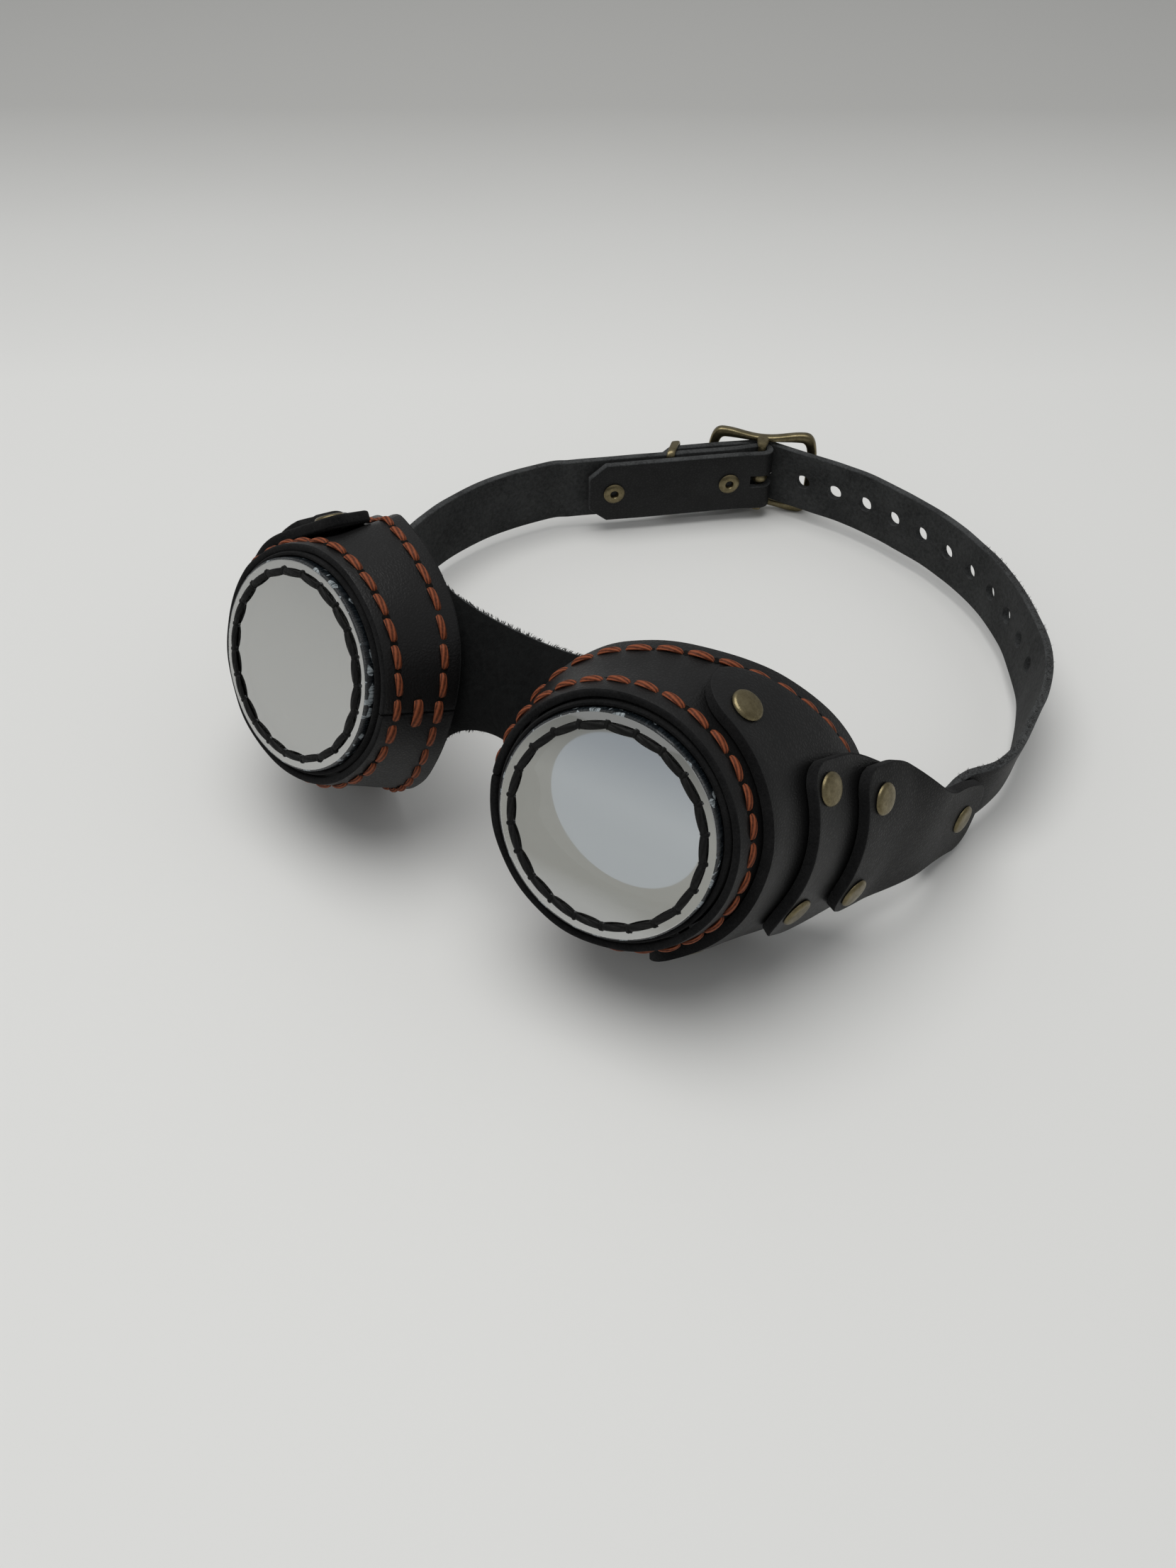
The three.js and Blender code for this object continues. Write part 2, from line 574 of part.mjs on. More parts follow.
function strapRight() {
  const path = new THREE.SplineCurve([...strapStart(1, ROUTE_RIGHT), aroundBar(88, overFold)]).getSpacedPoints(40);
  for (let k = 1; k <= 4; k++) {
    path.push(aroundBar(lerp(88, SECTION_ANGLE + 90, k / 4), overFold));
  }
  path.push(inSection(-FOLD_SPLIT, tipOut), inSection(-TIP_LENGTH, tipOut));
  const tongueHole = vec2(
    Math.cos(rad(FRAME_ANGLE + TONGUE_ANGLE)), Math.sin(rad(FRAME_ANGLE + TONGUE_ANGLE)));
  const holes = [strapHole(
    barCentre.clone().addScaledVector(tongueHole, overFold), vec2(tongueHole.y, -tongueHole.x), HOLE_RADIUS)];
  const line = new THREE.SplineCurve(path.slice(0, 41).reverse());
  const length = line.getLength();
  for (let k = 1; k < HOLE_COUNT; k++) {
    const u = (k * HOLE_PITCH + 2) / length;
    holes.push(strapHole(line.getPointAt(u), line.getTangentAt(u), HOLE_RADIUS));
  }
  return cut(band(path), [pivotHole(1), ...holes]);
}

function foldRivet(along) {
  const half = layerHalf + STRAP_THICKNESS / 2 + 0.2;
  const outline = [
    [FOLD_RIVET_BORE, half + 0.6], [FOLD_RIVET_RADIUS, half + 0.4], [FOLD_RIVET_RADIUS, half],
    [FOLD_RIVET_TUBE, half], [FOLD_RIVET_TUBE, -half], [FOLD_RIVET_RADIUS, -half],
    [FOLD_RIVET_RADIUS, -half - 0.5], [FOLD_RIVET_BORE, -half - 0.8], [FOLD_RIVET_BORE, half + 0.6],
  ];
  const at = inSection(along, 0);
  const axis = vec3(sectionOut.x, sectionOut.y, 0);
  return turned(outline, 12).applyMatrix4(frameAt(vec3(at.x, at.y, strapHeight), axis));
}

// Buckle frame axes: x along the frame, y up, z inwards to the head
const frameAlong = vec3(Math.cos(rad(FRAME_ANGLE)), Math.sin(rad(FRAME_ANGLE)), 0);
const buckleMatrix = new THREE.Matrix4()
  .makeBasis(frameAlong, vec3(0, 0, 1), vec3(frameAlong.y, -frameAlong.x, 0))
  .setPosition(barCentre.x, barCentre.y, strapHeight);

function buckleFrame() {
  const long = FRAME_HALF_LENGTH;
  const tall = FRAME_HALF_HEIGHT;
  const waist = FRAME_WAIST;
  const outline = new THREE.Shape();
  outline.moveTo(-long, 0);
  outline.quadraticCurveTo(-long, tall, -0.66 * long, tall);
  outline.bezierCurveTo(-0.35 * long, tall, -0.25 * long, waist, 0, waist);
  outline.bezierCurveTo(0.25 * long, waist, 0.35 * long, tall, 0.66 * long, tall);
  outline.quadraticCurveTo(long, tall, long, 0);
  outline.quadraticCurveTo(long, -tall, 0.66 * long, -tall);
  outline.bezierCurveTo(0.35 * long, -tall, 0.25 * long, -waist, 0, -waist);
  outline.bezierCurveTo(-0.25 * long, -waist, -0.35 * long, -tall, -0.66 * long, -tall);
  outline.quadraticCurveTo(-long, -tall, -long, 0);
  const side = long - FRAME_RAIL;
  const clear = STRAP_WIDTH / 2 + 0.6;
  const window = new THREE.Shape();
  window.moveTo(-side, 0);
  window.quadraticCurveTo(-side, clear, -side + 3, clear);
  window.lineTo(side - 3, clear);
  window.quadraticCurveTo(side, clear, side, 0);
  window.quadraticCurveTo(side, -clear, side - 3, -clear);
  window.lineTo(-side + 3, -clear);
  window.quadraticCurveTo(-side, -clear, -side, 0);
  const slab = (shape, depth) => {
    const geometry = new THREE.ExtrudeGeometry(shape, { depth, bevelEnabled: false, curveSegments: 6 });
    return geometry.translate(0, 0, -BAR_RECESS - depth / 2);
  };
  const ring = cut(slab(outline, FRAME_THICKNESS), [slab(window, FRAME_THICKNESS + 2)]);
  const bar = new THREE.CylinderGeometry(BAR_RADIUS, BAR_RADIUS, 2 * clear + 1.2, 14);
  const rail = waist - clear;
  const bosses = [1, -1].map((end) => {
    const boss = new THREE.BoxGeometry(BOSS_WIDTH, rail - 0.2, BAR_RECESS + BAR_RADIUS);
    return boss.translate(0, end * (clear + rail / 2), (BAR_RADIUS - BAR_RECESS) / 2);
  });
  return join([ring, bar, ...bosses]).applyMatrix4(buckleMatrix);
}

function buckleTongue() {
  const half = TONGUE_WIDTH / 2;
  const eye = BAR_RADIUS + 0.25;
  const lean = rad(TONGUE_ANGLE);
  const rest = BAR_RECESS + FRAME_THICKNESS / 2 + GAP;
  const along = vec2(Math.cos(lean), Math.sin(lean));
  const across = vec2(-along.y, along.x).multiplyScalar(half);
  const neck = along.clone().multiplyScalar(overFold + STRAP_THICKNESS / 2 + 0.6);
  const arm = new THREE.Shape();
  const foot = along.clone().multiplyScalar(eye + 0.4);
  arm.moveTo(foot.x + across.x, foot.y + across.y);
  arm.lineTo(neck.x + across.x, neck.y + across.y + half);
  arm.quadraticCurveTo(neck.x + 2, neck.y + 2.4 * half, 8, rest + 3.6 * half);
  arm.lineTo(FRAME_HALF_LENGTH - 2, rest + 2 * half);
  arm.lineTo(FRAME_HALF_LENGTH + 1, rest + 1.6 * half);
  arm.lineTo(FRAME_HALF_LENGTH + 1, rest);
  arm.lineTo(FRAME_HALF_LENGTH - 3, rest);
  arm.lineTo(8, rest + 1.6 * half);
  arm.quadraticCurveTo(neck.x + 2, neck.y + 0.4 * half, neck.x - across.x, neck.y - across.y);
  arm.lineTo(foot.x - across.x, foot.y - across.y);
  const ring = new THREE.Shape();
  ring.absarc(0, 0, eye + 1.1, 0, Math.PI * 2);
  const bore = new THREE.Path();
  bore.absarc(0, 0, eye, 0, Math.PI * 2, true);
  ring.holes.push(bore);
  const options = { depth: TONGUE_HEIGHT, bevelEnabled: false, curveSegments: 8 };
  const pieces = [ring, arm].map((shape) => new THREE.ExtrudeGeometry(shape, options));
  const tongue = join(pieces).translate(0, 0, -TONGUE_HEIGHT / 2);
  tongue.rotateX(Math.PI / 2);
  tongue.scale(1, -1, -1);
  return tongue.applyMatrix4(buckleMatrix);
}

// The keeper is trapped between the two layers of the fold, so it holds the strap and its free tip
function keeperLoop() {
  const inner = layerHalf - STRAP_THICKNESS / 2 - KEEPER_CLEARANCE;
  const outer = tipOut + STRAP_THICKNESS / 2 + KEEPER_CLEARANCE;
  const high = STRAP_WIDTH / 2 + KEEPER_CLEARANCE;
  const box = (grow) => [
    vec2(inner - grow, -high - grow), vec2(outer + grow, -high - grow),
    vec2(outer + grow, high + grow), vec2(inner - grow, high + grow),
  ];
  const shape = new THREE.Shape(box(KEEPER_WALL));
  shape.holes.push(new THREE.Path(box(0).reverse()));
  const geometry = new THREE.ExtrudeGeometry(shape, { depth: KEEPER_WIDTH, bevelEnabled: false });
  geometry.translate(0, 0, -KEEPER_WIDTH / 2);
  const at = inSection(KEEPER_AT, 0);
  const matrix = new THREE.Matrix4().makeBasis(
    vec3(sectionOut.x, sectionOut.y, 0), vec3(0, 0, 1), vec3(sectionAlong.x, sectionAlong.y, 0));
  return geometry.applyMatrix4(matrix.setPosition(at.x, at.y, strapHeight));
}

const LOOKS = {
  leather: { color: 0x1d1d1f, roughness: 0.5, metalness: 0 },
  suede: { color: 0x2b2a2a, roughness: 0.9, metalness: 0 },
  acrylic: { color: 0xdfe3e2, roughness: 0.05, metalness: 0 },
  black_thread: { color: 0x0d0d0d, roughness: 0.6, metalness: 0 },
  rust_thread: { color: 0x8f4a2c, roughness: 0.7, metalness: 0 },
  brass: { color: 0x8c7d55, roughness: 0.35, metalness: 1 },
};
const LOOK_OF = {
  lens: 'acrylic', lens_thread: 'black_thread', front_seam_thread: 'rust_thread',
  back_seam_thread: 'rust_thread', seam_stitch: 'rust_thread', face_band: 'suede',
};

const goggles = new THREE.Group();
goggles.name = 'pilot_goggles';

function addPiece(name, geometry, look) {
  const mesh = new THREE.Mesh(geometry, new THREE.MeshStandardMaterial(LOOKS[look]));
  mesh.name = name;
  goggles.add(mesh);
}

let bandHoles = [];
for (const side of [1, -1]) {
  const word = side > 0 ? 'right' : 'left';
  const { geometry, fixings } = cupParts(side);
  for (const [name, shape] of Object.entries(geometry)) {
    const placed = side > 0 ? shape.clone() : mirrored(shape);
    const look = name.includes('rivet') ? 'brass' : LOOK_OF[name] ?? 'leather';
    addPiece(`${name}_${word}`, placed.applyMatrix4(cupMatrix(side)), look);
  }
  bandHoles = fixings
    .filter((fixing) => fixing.layers.includes('face_band'))
    .map((fixing) => rivetHole(fixing.origin, fixing.axis, RIVET_POST_RADIUS + GAP));
}
addPiece('face_band', faceBand(bandHoles), 'suede');
addPiece('strap_left', strapLeft(), 'leather');
addPiece('strap_right', strapRight(), 'leather');
FOLD_RIVETS.forEach((along, i) => addPiece(`fold_rivet_${i + 1}`, foldRivet(along), 'brass'));
addPiece('buckle_frame', buckleFrame(), 'brass');
addPiece('buckle_tongue', buckleTongue(), 'brass');
addPiece('keeper_loop', keeperLoop(), 'brass');

// The origin is the middle of the footprint, on the table
const extent = new THREE.Box3().setFromObject(goggles);
const middle = extent.getCenter(vec3(0, 0, 0));
for (const mesh of goggles.children) {
  mesh.geometry.translate(-middle.x, -middle.y, -extent.min.z);
}

export default goggles;
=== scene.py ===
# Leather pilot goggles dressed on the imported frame. Metres, +Z up, lenses facing -Y.
import bmesh
import bpy
import math
import random
from math import cos, pi, radians, sin
from mathutils import Matrix, Vector, noise


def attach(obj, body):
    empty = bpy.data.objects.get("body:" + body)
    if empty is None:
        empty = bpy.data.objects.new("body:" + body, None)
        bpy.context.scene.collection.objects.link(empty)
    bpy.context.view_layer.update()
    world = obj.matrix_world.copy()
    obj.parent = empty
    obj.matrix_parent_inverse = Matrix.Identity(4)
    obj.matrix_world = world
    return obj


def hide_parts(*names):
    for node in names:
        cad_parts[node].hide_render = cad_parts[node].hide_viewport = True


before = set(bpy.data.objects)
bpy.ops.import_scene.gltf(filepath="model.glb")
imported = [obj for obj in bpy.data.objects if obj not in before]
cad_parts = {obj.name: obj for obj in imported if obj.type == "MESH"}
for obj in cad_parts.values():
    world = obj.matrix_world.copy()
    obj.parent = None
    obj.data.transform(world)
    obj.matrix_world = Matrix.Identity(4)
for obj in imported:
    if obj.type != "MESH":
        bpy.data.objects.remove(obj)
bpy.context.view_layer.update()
scene = bpy.context.scene
scene.view_settings.view_transform = "Standard"

# Studio: a pale matt tabletop whose colour is painted darker far behind and near the front as painted
# shade, a broad softbox overhead, and a small dim card in front of the goggles that lights no matt surface
# and shows as the bright patch in the right lens. Left and right are as the photo shows them, with the
# camera at the wearer's left.
camera = bpy.data.objects.new("camera", bpy.data.cameras.new("camera"))
camera.location = (0.149316, -0.247863, 0.243139)
camera.rotation_euler = (radians(45.666), 0, radians(35.983))
camera.data.lens = 30.108
camera.data.sensor_width = 36
camera.data.clip_start = 0.01
scene.collection.objects.link(camera)
scene.camera = camera


def softbox(name, place, aim, size, power, colour, roll=0.0):
    light = bpy.data.lights.new(name, "AREA")
    light.shape = "ELLIPSE"
    light.size, light.size_y = size
    light.energy = power
    light.color = colour
    lamp = bpy.data.objects.new(name, light)
    lamp.location = place
    turn = (Vector(aim) - Vector(place)).to_track_quat("-Z", "Y").to_matrix()
    lamp.rotation_euler = (turn @ Matrix.Rotation(roll, 3, "Z")).to_euler()
    scene.collection.objects.link(lamp)
    return lamp


softbox("overhead", place=(-0.15, -0.12, 1.27), aim=(0, 0, 0.02), size=(1.25, 1.25), power=12.0,
        colour=(1.0, 0.995, 0.98))
card = softbox("card", place=(-0.0102, -0.376, 0.0333), aim=(0.0443, -0.1, 0.0523),
               size=(0.075, 0.0527), power=0.00236, colour=(0.6, 0.75, 1.0), roll=radians(-27.7))
card.visible_diffuse = False
world = bpy.data.worlds.new("room")
scene.world = world
world.use_nodes = True
room = world.node_tree.nodes["Background"].inputs
room["Color"].default_value = (0.9, 0.91, 0.91, 1)
room["Strength"].default_value = 0.44


class Nodes:
    """A node tree with short calls: add a node with its settings, and link sockets."""

    def __init__(self, tree):
        self.tree = tree

    def fill(self, socket, value):
        if isinstance(value, bpy.types.NodeSocket):
            self.tree.links.new(value, socket)
        else:
            socket.default_value = value

    def add(self, kind, settings=(), **inputs):
        node = self.tree.nodes.new("ShaderNode" + kind)
        for key, value in dict(settings).items():
            setattr(node, key, value)
        for key, value in inputs.items():
            self.fill(node.inputs[key.replace("_", " ")], value)
        return node

    def at(self, kind="Object"):
        return self.add("TexCoord").outputs[kind]

    def noise(self, at, scale, detail=2.0, **inputs):
        return self.add("TexNoise", Vector=at, Scale=scale, Detail=detail, **inputs).outputs["Fac"]

    def math(self, operation, a, b=0.0):
        node = self.add("Math", {"operation": operation})
        for socket, value in zip(node.inputs, (a, b)):
            self.fill(socket, value)
        return node.outputs[0]

    def mix(self, a, share_a, b, share_b):
        """A weighted sum of two values."""
        return self.math("ADD", self.math("MULTIPLY", a, share_a), self.math("MULTIPLY", b, share_b))

    def remap(self, value, low, high, to_low, to_high):
        return self.add("MapRange", Value=value, From_Min=low, From_Max=high,
                        To_Min=to_low, To_Max=to_high).outputs["Result"]

    def ramp(self, factor, *stops):
        node = self.add("ValToRGB")
        while len(node.color_ramp.elements) < len(stops):
            node.color_ramp.elements.new(0.5)
        for element, (at, colour) in zip(node.color_ramp.elements, stops):
            element.position = at
            element.color = (*colour, 1)
        self.tree.links.new(factor, node.inputs["Fac"])
        return node.outputs["Color"]


def material(name, **constants):
    made = bpy.data.materials.new(name)
    made.use_nodes = True
    shader = made.node_tree.nodes["Principled BSDF"]
    for key, value in constants.items():
        shader.inputs[key.replace("_", " ")].default_value = value
    return made, Nodes(made.node_tree), shader


def link_surface(nodes, shader, colour=None, rough=None, height=None, depth=0.0002, strength=0.5):
    if colour is not None:
        nodes.tree.links.new(colour, shader.inputs["Base Color"])
    if rough is not None:
        nodes.tree.links.new(rough, shader.inputs["Roughness"])
    if height is not None:
        bump = nodes.add("Bump", Strength=strength, Distance=depth, Height=height)
        nodes.tree.links.new(bump.outputs["Normal"], shader.inputs["Normal"])


table, nodes, shader = material("tabletop", Roughness=0.62)
spots = nodes.noise(nodes.at(), 7.0, 6.0)
grit = nodes.noise(nodes.at(), 900.0, 3.0)
away = nodes.add("VectorMath", {"operation": "DOT_PRODUCT"})
nodes.fill(away.inputs[0], nodes.at())
away.inputs[1].default_value = (-0.588, 0.809, 0)
reach = nodes.math("ADD", away.outputs["Value"], nodes.math("MULTIPLY", spots, 0.03))
reach = nodes.math("MULTIPLY", nodes.math("ADD", reach, 0.6), 0.8)
# Painted shade: the tone darkens by the distance along the view, far behind and close in front, and the
# first three stops show only in the lenses.
painted_floor_shade = nodes.ramp(
    reach, (0.0, (0.66, 0.66, 0.625)), (0.12, (0.57, 0.57, 0.538)), (0.26, (0.52, 0.52, 0.49)),
    (0.292, (0.69, 0.69, 0.68)), (0.64, (0.69, 0.69, 0.68)), (0.752, (0.6, 0.6, 0.59)),
    (0.896, (0.43, 0.428, 0.418)))
link_surface(nodes, shader, painted_floor_shade, None, grit, 0.0001, 0.1)
bm = bmesh.new()
bmesh.ops.create_grid(bm, x_segments=8, y_segments=8, size=3.0)
mesh = bpy.data.meshes.new("tabletop")
bm.to_mesh(mesh)
bm.free()
mesh.materials.append(table)
tabletop = bpy.data.objects.new("tabletop", mesh)
scene.collection.objects.link(tabletop)

# Cup walls: one strip of 2.6 mm black bridle leather per eye, rolled to a flaring cone and butted
# at the lower nose side. The cut rims are raw, and the left cup is pressed a little out of round.
MM = 0.001
WALL = 2.6
LAYER = 2.9
FLARE = 0.26
MOUTH_RADIUS, MOUTH_DEPTH = 28.3, 2
SEAM = radians(178)
SIDES = ((1, "right"), (-1, "left"))
HALF_SPAN = 44.2
ORIGIN = (-0.613, -96.586, 50.266)
SHARP = radians(42)
DENT = {1: 0.0, -1: 3.6}


def lerp(a, b, t):
    return a + (b - a) * t


def smooth(x, low, high):
    t = min(max((x - low) / (high - low), 0.0), 1.0)
    return t * t * (3 - 2 * t)


def cup(side):
    """Cup frame in millimetres (x to the temple, y up, z out of the lens) to the scene."""
    turn = Matrix.Rotation(side * radians(6.9), 4, "Z") @ Matrix.Rotation(radians(68), 4, "X")
    shift = Matrix.Translation((side * HALF_SPAN + ORIGIN[0], ORIGIN[1], ORIGIN[2]))
    return Matrix.Scale(MM, 4) @ shift @ turn @ Matrix.Diagonal((side, 1, 1, 1))


def wall_radius(depth):
    return MOUTH_RADIUS + FLARE * (depth - MOUTH_DEPTH)


def wall_normal(angle):
    return Vector((cos(angle), sin(angle), FLARE)).normalized()


def pressed(angle):
    """The share of the left cup's dent at an angle."""
    return smooth(cos(angle - radians(58)), 0.87, 1)


def on_wall(angle, depth, offset, dent=0.0):
    r = wall_radius(depth) - dent * smooth(depth, -6, 24) * pressed(angle)
    return Vector((r * cos(angle), r * sin(angle), -depth)) + wall_normal(angle) * offset


def back_edge(angle):
    low = 34.1 + 15 * cos(angle) - 4.9 * sin(angle) + 2.2 * cos(2 * angle) - 1.5 * sin(2 * angle)
    return low + 0.7 * cos(3 * angle) + 0.8 * sin(3 * angle)


def sheet(bm, surface, thick, nu, nv, outward, place, wave=0.0, seed=0.0, round_edge=0.5):
    """A sheet of leather: outer face slot 0, cut rim slot 1, flesh side slot 2."""
    step = 1e-3
    verts = {}
    for i in range(nu + 1):
        for j in range(nv + 1):
            u, v = i / nu, j / nv
            along = surface(u + step, v) - surface(u - step, v)
            across = surface(u, v + step) - surface(u, v - step)
            n = along.cross(across).normalized() * outward
            p = surface(u, v)
            p = p + n * wave * noise.noise(p * 0.09 + Vector((seed, 3.1, 0)))
            verts[i, j] = [bm.verts.new(place @ (p + n * thick * f)) for f in (0.5, -0.5)]
    made = []

    def quad(slot, *corners):
        face = bm.faces.new(corners)
        face.material_index = slot
        made.append(face)

    for i in range(nu):
        for j in range(nv):
            ring = [verts[i, j], verts[i + 1, j], verts[i + 1, j + 1], verts[i, j + 1]]
            quad(0, *[pair[0] for pair in ring])
            quad(2, *[pair[1] for pair in reversed(ring)])
    border = [(i, 0) for i in range(nu)] + [(nu, j) for j in range(nv)]
    border += [(i, nv) for i in range(nu, 0, -1)] + [(0, j) for j in range(nv, 0, -1)]
    for a, b in zip(border, border[1:] + border[:1]):
        quad(1, verts[b][0], verts[a][0], verts[a][1], verts[b][1])
    bmesh.ops.recalc_face_normals(bm, faces=made)
    fresh = set(made)
    rims = [e for e in dict.fromkeys(e for f in made for e in f.edges)
            if len({f.material_index for f in e.link_faces if f in fresh}) == 2]
    bmesh.ops.bevel(bm, geom=rims, offset=round_edge * MM, segments=3, profile=0.5, affect="EDGES",
                    clamp_overlap=True, material=1)


def piece(name, bm, materials, body, slot, *stands_for):
    mesh = bpy.data.meshes.new(name)
    bm.to_mesh(mesh)
    bm.free()
    for skin in materials:
        mesh.materials.append(skin)
    mesh.polygons.foreach_set("use_smooth", [True] * len(mesh.polygons))
    mesh.set_sharp_from_angle(angle=SHARP)
    made = bpy.data.objects.new(name, mesh)
    scene.collection.objects.link(made)
    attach(made, body)
    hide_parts(*stands_for)
    return made


def grain_group():
    """Pebbled grain, pores and slow changes of tone, at the size they have on cowhide."""
    tree = bpy.data.node_groups.new("grain", "ShaderNodeTree")
    tree.interface.new_socket("Height", in_out="OUTPUT", socket_type="NodeSocketFloat")
    tree.interface.new_socket("Tone", in_out="OUTPUT", socket_type="NodeSocketFloat")
    n = Nodes(tree)
    at = n.at()
    bend = n.add("TexNoise", Vector=at, Scale=260.0, Detail=2.0)
    soft = n.add("VectorMath", {"operation": "MULTIPLY_ADD"})
    n.fill(soft.inputs[0], bend.outputs["Color"])
    soft.inputs[1].default_value = (0.0012, 0.0012, 0.0012)
    n.fill(soft.inputs[2], at)
    cells = n.add("TexVoronoi", {"feature": "DISTANCE_TO_EDGE"}, Vector=soft.outputs[0], Scale=1150.0)
    pebble = n.math("MINIMUM", n.math("MULTIPLY", cells.outputs["Distance"], 3.2), 1.0)
    pores = n.noise(at, 2600.0, 3.0)
    slow = n.noise(at, 55.0, 5.0, Roughness=0.62)
    crease = n.noise(at, 190.0, 4.0, Distortion=0.6)
    height = n.math("ADD", n.mix(pebble, 0.5, pores, 0.35), n.math("MULTIPLY", crease, 0.9))
    out = tree.nodes.new("NodeGroupOutput")
    n.fill(out.inputs["Height"], height)
    n.fill(out.inputs["Tone"], n.mix(slow, 0.75, pebble, 0.25))
    return tree


GRAIN = grain_group()


def leather(name, dark, light, rough, bump, gleam=0.28):
    made, n, shader = material(name, Specular_IOR_Level=gleam)
    grain = n.add("Group", {"node_tree": GRAIN})
    colour = n.ramp(grain.outputs["Tone"], (0.3, dark), (0.75, light))
    gloss = n.remap(grain.outputs["Tone"], 0.3, 0.8, rough + 0.09, rough - 0.09)
    link_surface(n, shader, colour, gloss, grain.outputs["Height"], 0.00022, bump)
    return made


def raw_leather(name, dark, light, fibre, bump):
    """Flesh side and cut rims: short matted fibres with a soft sheen."""
    made, n, shader = material(name, Roughness=0.93, Specular_IOR_Level=0.12, Sheen_Weight=0.03,
                               Sheen_Roughness=0.5)
    at = n.at()
    nap = n.noise(at, fibre, 6.0, Roughness=0.7, Distortion=0.5)
    patch = n.noise(at, fibre * 0.08, 4.0)
    colour = n.ramp(n.mix(nap, 0.6, patch, 0.4), (0.36, dark), (0.64, light))
    link_surface(n, shader, colour, None, nap, 0.0004, bump)
    return made


wall_leather = leather("wall_leather", (0.0022, 0.0022, 0.0023), (0.008, 0.0078, 0.008), 0.4, 0.3)
cut_edge = raw_leather("cut_edge", (0.0025, 0.0026, 0.0028), (0.013, 0.013, 0.0135), 1600.0, 0.8)
flesh = raw_leather("flesh_side", (0.014, 0.0146, 0.0148), (0.044, 0.0455, 0.0455), 900.0, 0.6)


def wall_surface(dent):
    def surface(u, v):
        angle = SEAM + radians(0.35) + u * (2 * pi - radians(0.7))
        return on_wall(angle, lerp(MOUTH_DEPTH, back_edge(angle), v), -0.85, dent)

    return surface


for side, word in SIDES:
    bm = bmesh.new()
    sheet(bm, wall_surface(DENT[side]), 1.7, 150, 12, -1, cup(side), wave=0.3, seed=side)
    piece("wall_" + word, bm, (wall_leather, cut_edge, flesh), "front", "leather", "cup_wall_" + word)

# Side shields: a wide strip that hugs the temple half of each cup, under the other overlays.
# On the left its top end is longer and stands free of the dented wall.
SHIELD_FRONT = 9.5
FREE_FROM = radians(57)


def corner_draw(distance, radius):
    t = 1 - min(max(distance / radius, 0), 1)
    return radius * (1 - math.sqrt(1 - min(t * t, 0.98)))


def flap_drop(angle, depth, side):
    """How far the left shield lies below the round of the cup: its top end is straight from FREE_FROM."""
    if side > 0:
        return 0.0
    straight = 32 * (1 / cos(max(angle - FREE_FROM, 0)) - 1)
    deepen = lerp(0.45, 1.5, (depth - SHIELD_FRONT) / 17)
    return 3.0 * smooth(angle, radians(30), FREE_FROM) * deepen - straight


def shield_sag(angle):
    """How far the shield's lower end hangs off the wall."""
    return 0.6 * smooth(-angle, radians(50), radians(72))


def shield_surface(side):
    top, low = radians(74 if side > 0 else 81), radians(-72)
    corner = 8 if side > 0 else 3

    def surface(u, v):
        angle = lerp(top, low, u)
        around = wall_radius(SHIELD_FRONT)
        draw = corner_draw((top - angle) * around, corner) + corner_draw((angle - low) * around, 8)
        back = back_edge(angle) - 7.2 - draw * 0.5
        depth = lerp(SHIELD_FRONT + draw, back, v)
        return on_wall(angle, depth, 1.6 + shield_sag(angle) - flap_drop(angle, depth, side))

    return surface


overlay_dark, overlay_light = (0.0022, 0.0022, 0.0023), (0.0068, 0.0068, 0.007)
overlay_leather = leather("overlay_leather", overlay_dark, overlay_light, 0.4, 0.3)
overlay_skins = (overlay_leather, cut_edge, flesh)
for side, word in SIDES:
    bm = bmesh.new()
    sheet(bm, shield_surface(side), WALL, 90, 8, 1, cup(side), wave=0.25, seed=5 + side, round_edge=0.55)
    piece("shield_" + word, bm, overlay_skins, "front", "leather", "side_shield_" + word)

# Middle overlays: the second layer on each temple, waisted at the front and tapering to the back.
# Two brass rivets hold its front corners.
MIDDLE_OFFSET = 4.5


def cone_x(depth, height, offset):
    r = wall_radius(depth) + offset * math.hypot(1, FLARE)
    return math.sqrt(max(r * r - height * height, 1))


def waist(v, deep):
    """How far the middle of an overlay's front edge is cut back."""
    return deep * (1 - (2 * v - 1) ** 2)


def middle_surface(u, v):
    tall = 41
    front = 19.2 + waist(v, 1.4) + corner_draw(v * tall, 8) + corner_draw((1 - v) * tall, 6)
    depth = lerp(front, 54, u)
    taper = 6 * smooth(depth, 32, 54)
    low = -21 - 4.5 * smooth(depth, 17, 38)
    height = lerp(low + taper, 20 - taper, v)
    return Vector((cone_x(depth, height, MIDDLE_OFFSET), height, -depth))


for side, word in SIDES:
    bm = bmesh.new()
    sheet(bm, middle_surface, WALL, 24, 54, 1, cup(side), wave=0.2, seed=9 + side, round_edge=0.55)
    piece("middle_" + word, bm, overlay_skins, "front", "leather", "middle_overlay_" + word)

# Strap tabs: the outer layer, which narrows behind its two rivets to a flat tail with clipped
# corners, where the head strap turns on a single rivet.
TAB_OFFSET = 7.4
TAIL_DEPTH, TAIL_HEIGHT = 83.5, -5
TAIL_YAW = radians(6)
tail_normal = (cup(1).to_3x3().inverted() @ Vector((cos(TAIL_YAW), -sin(TAIL_YAW), 0))).normalized()


def tail_x(depth, height):
    rise = tail_normal.z * (depth - TAIL_DEPTH) - tail_normal.y * (height - TAIL_HEIGHT)
    return cone_x(TAIL_DEPTH, TAIL_HEIGHT, TAB_OFFSET) + rise / tail_normal.x


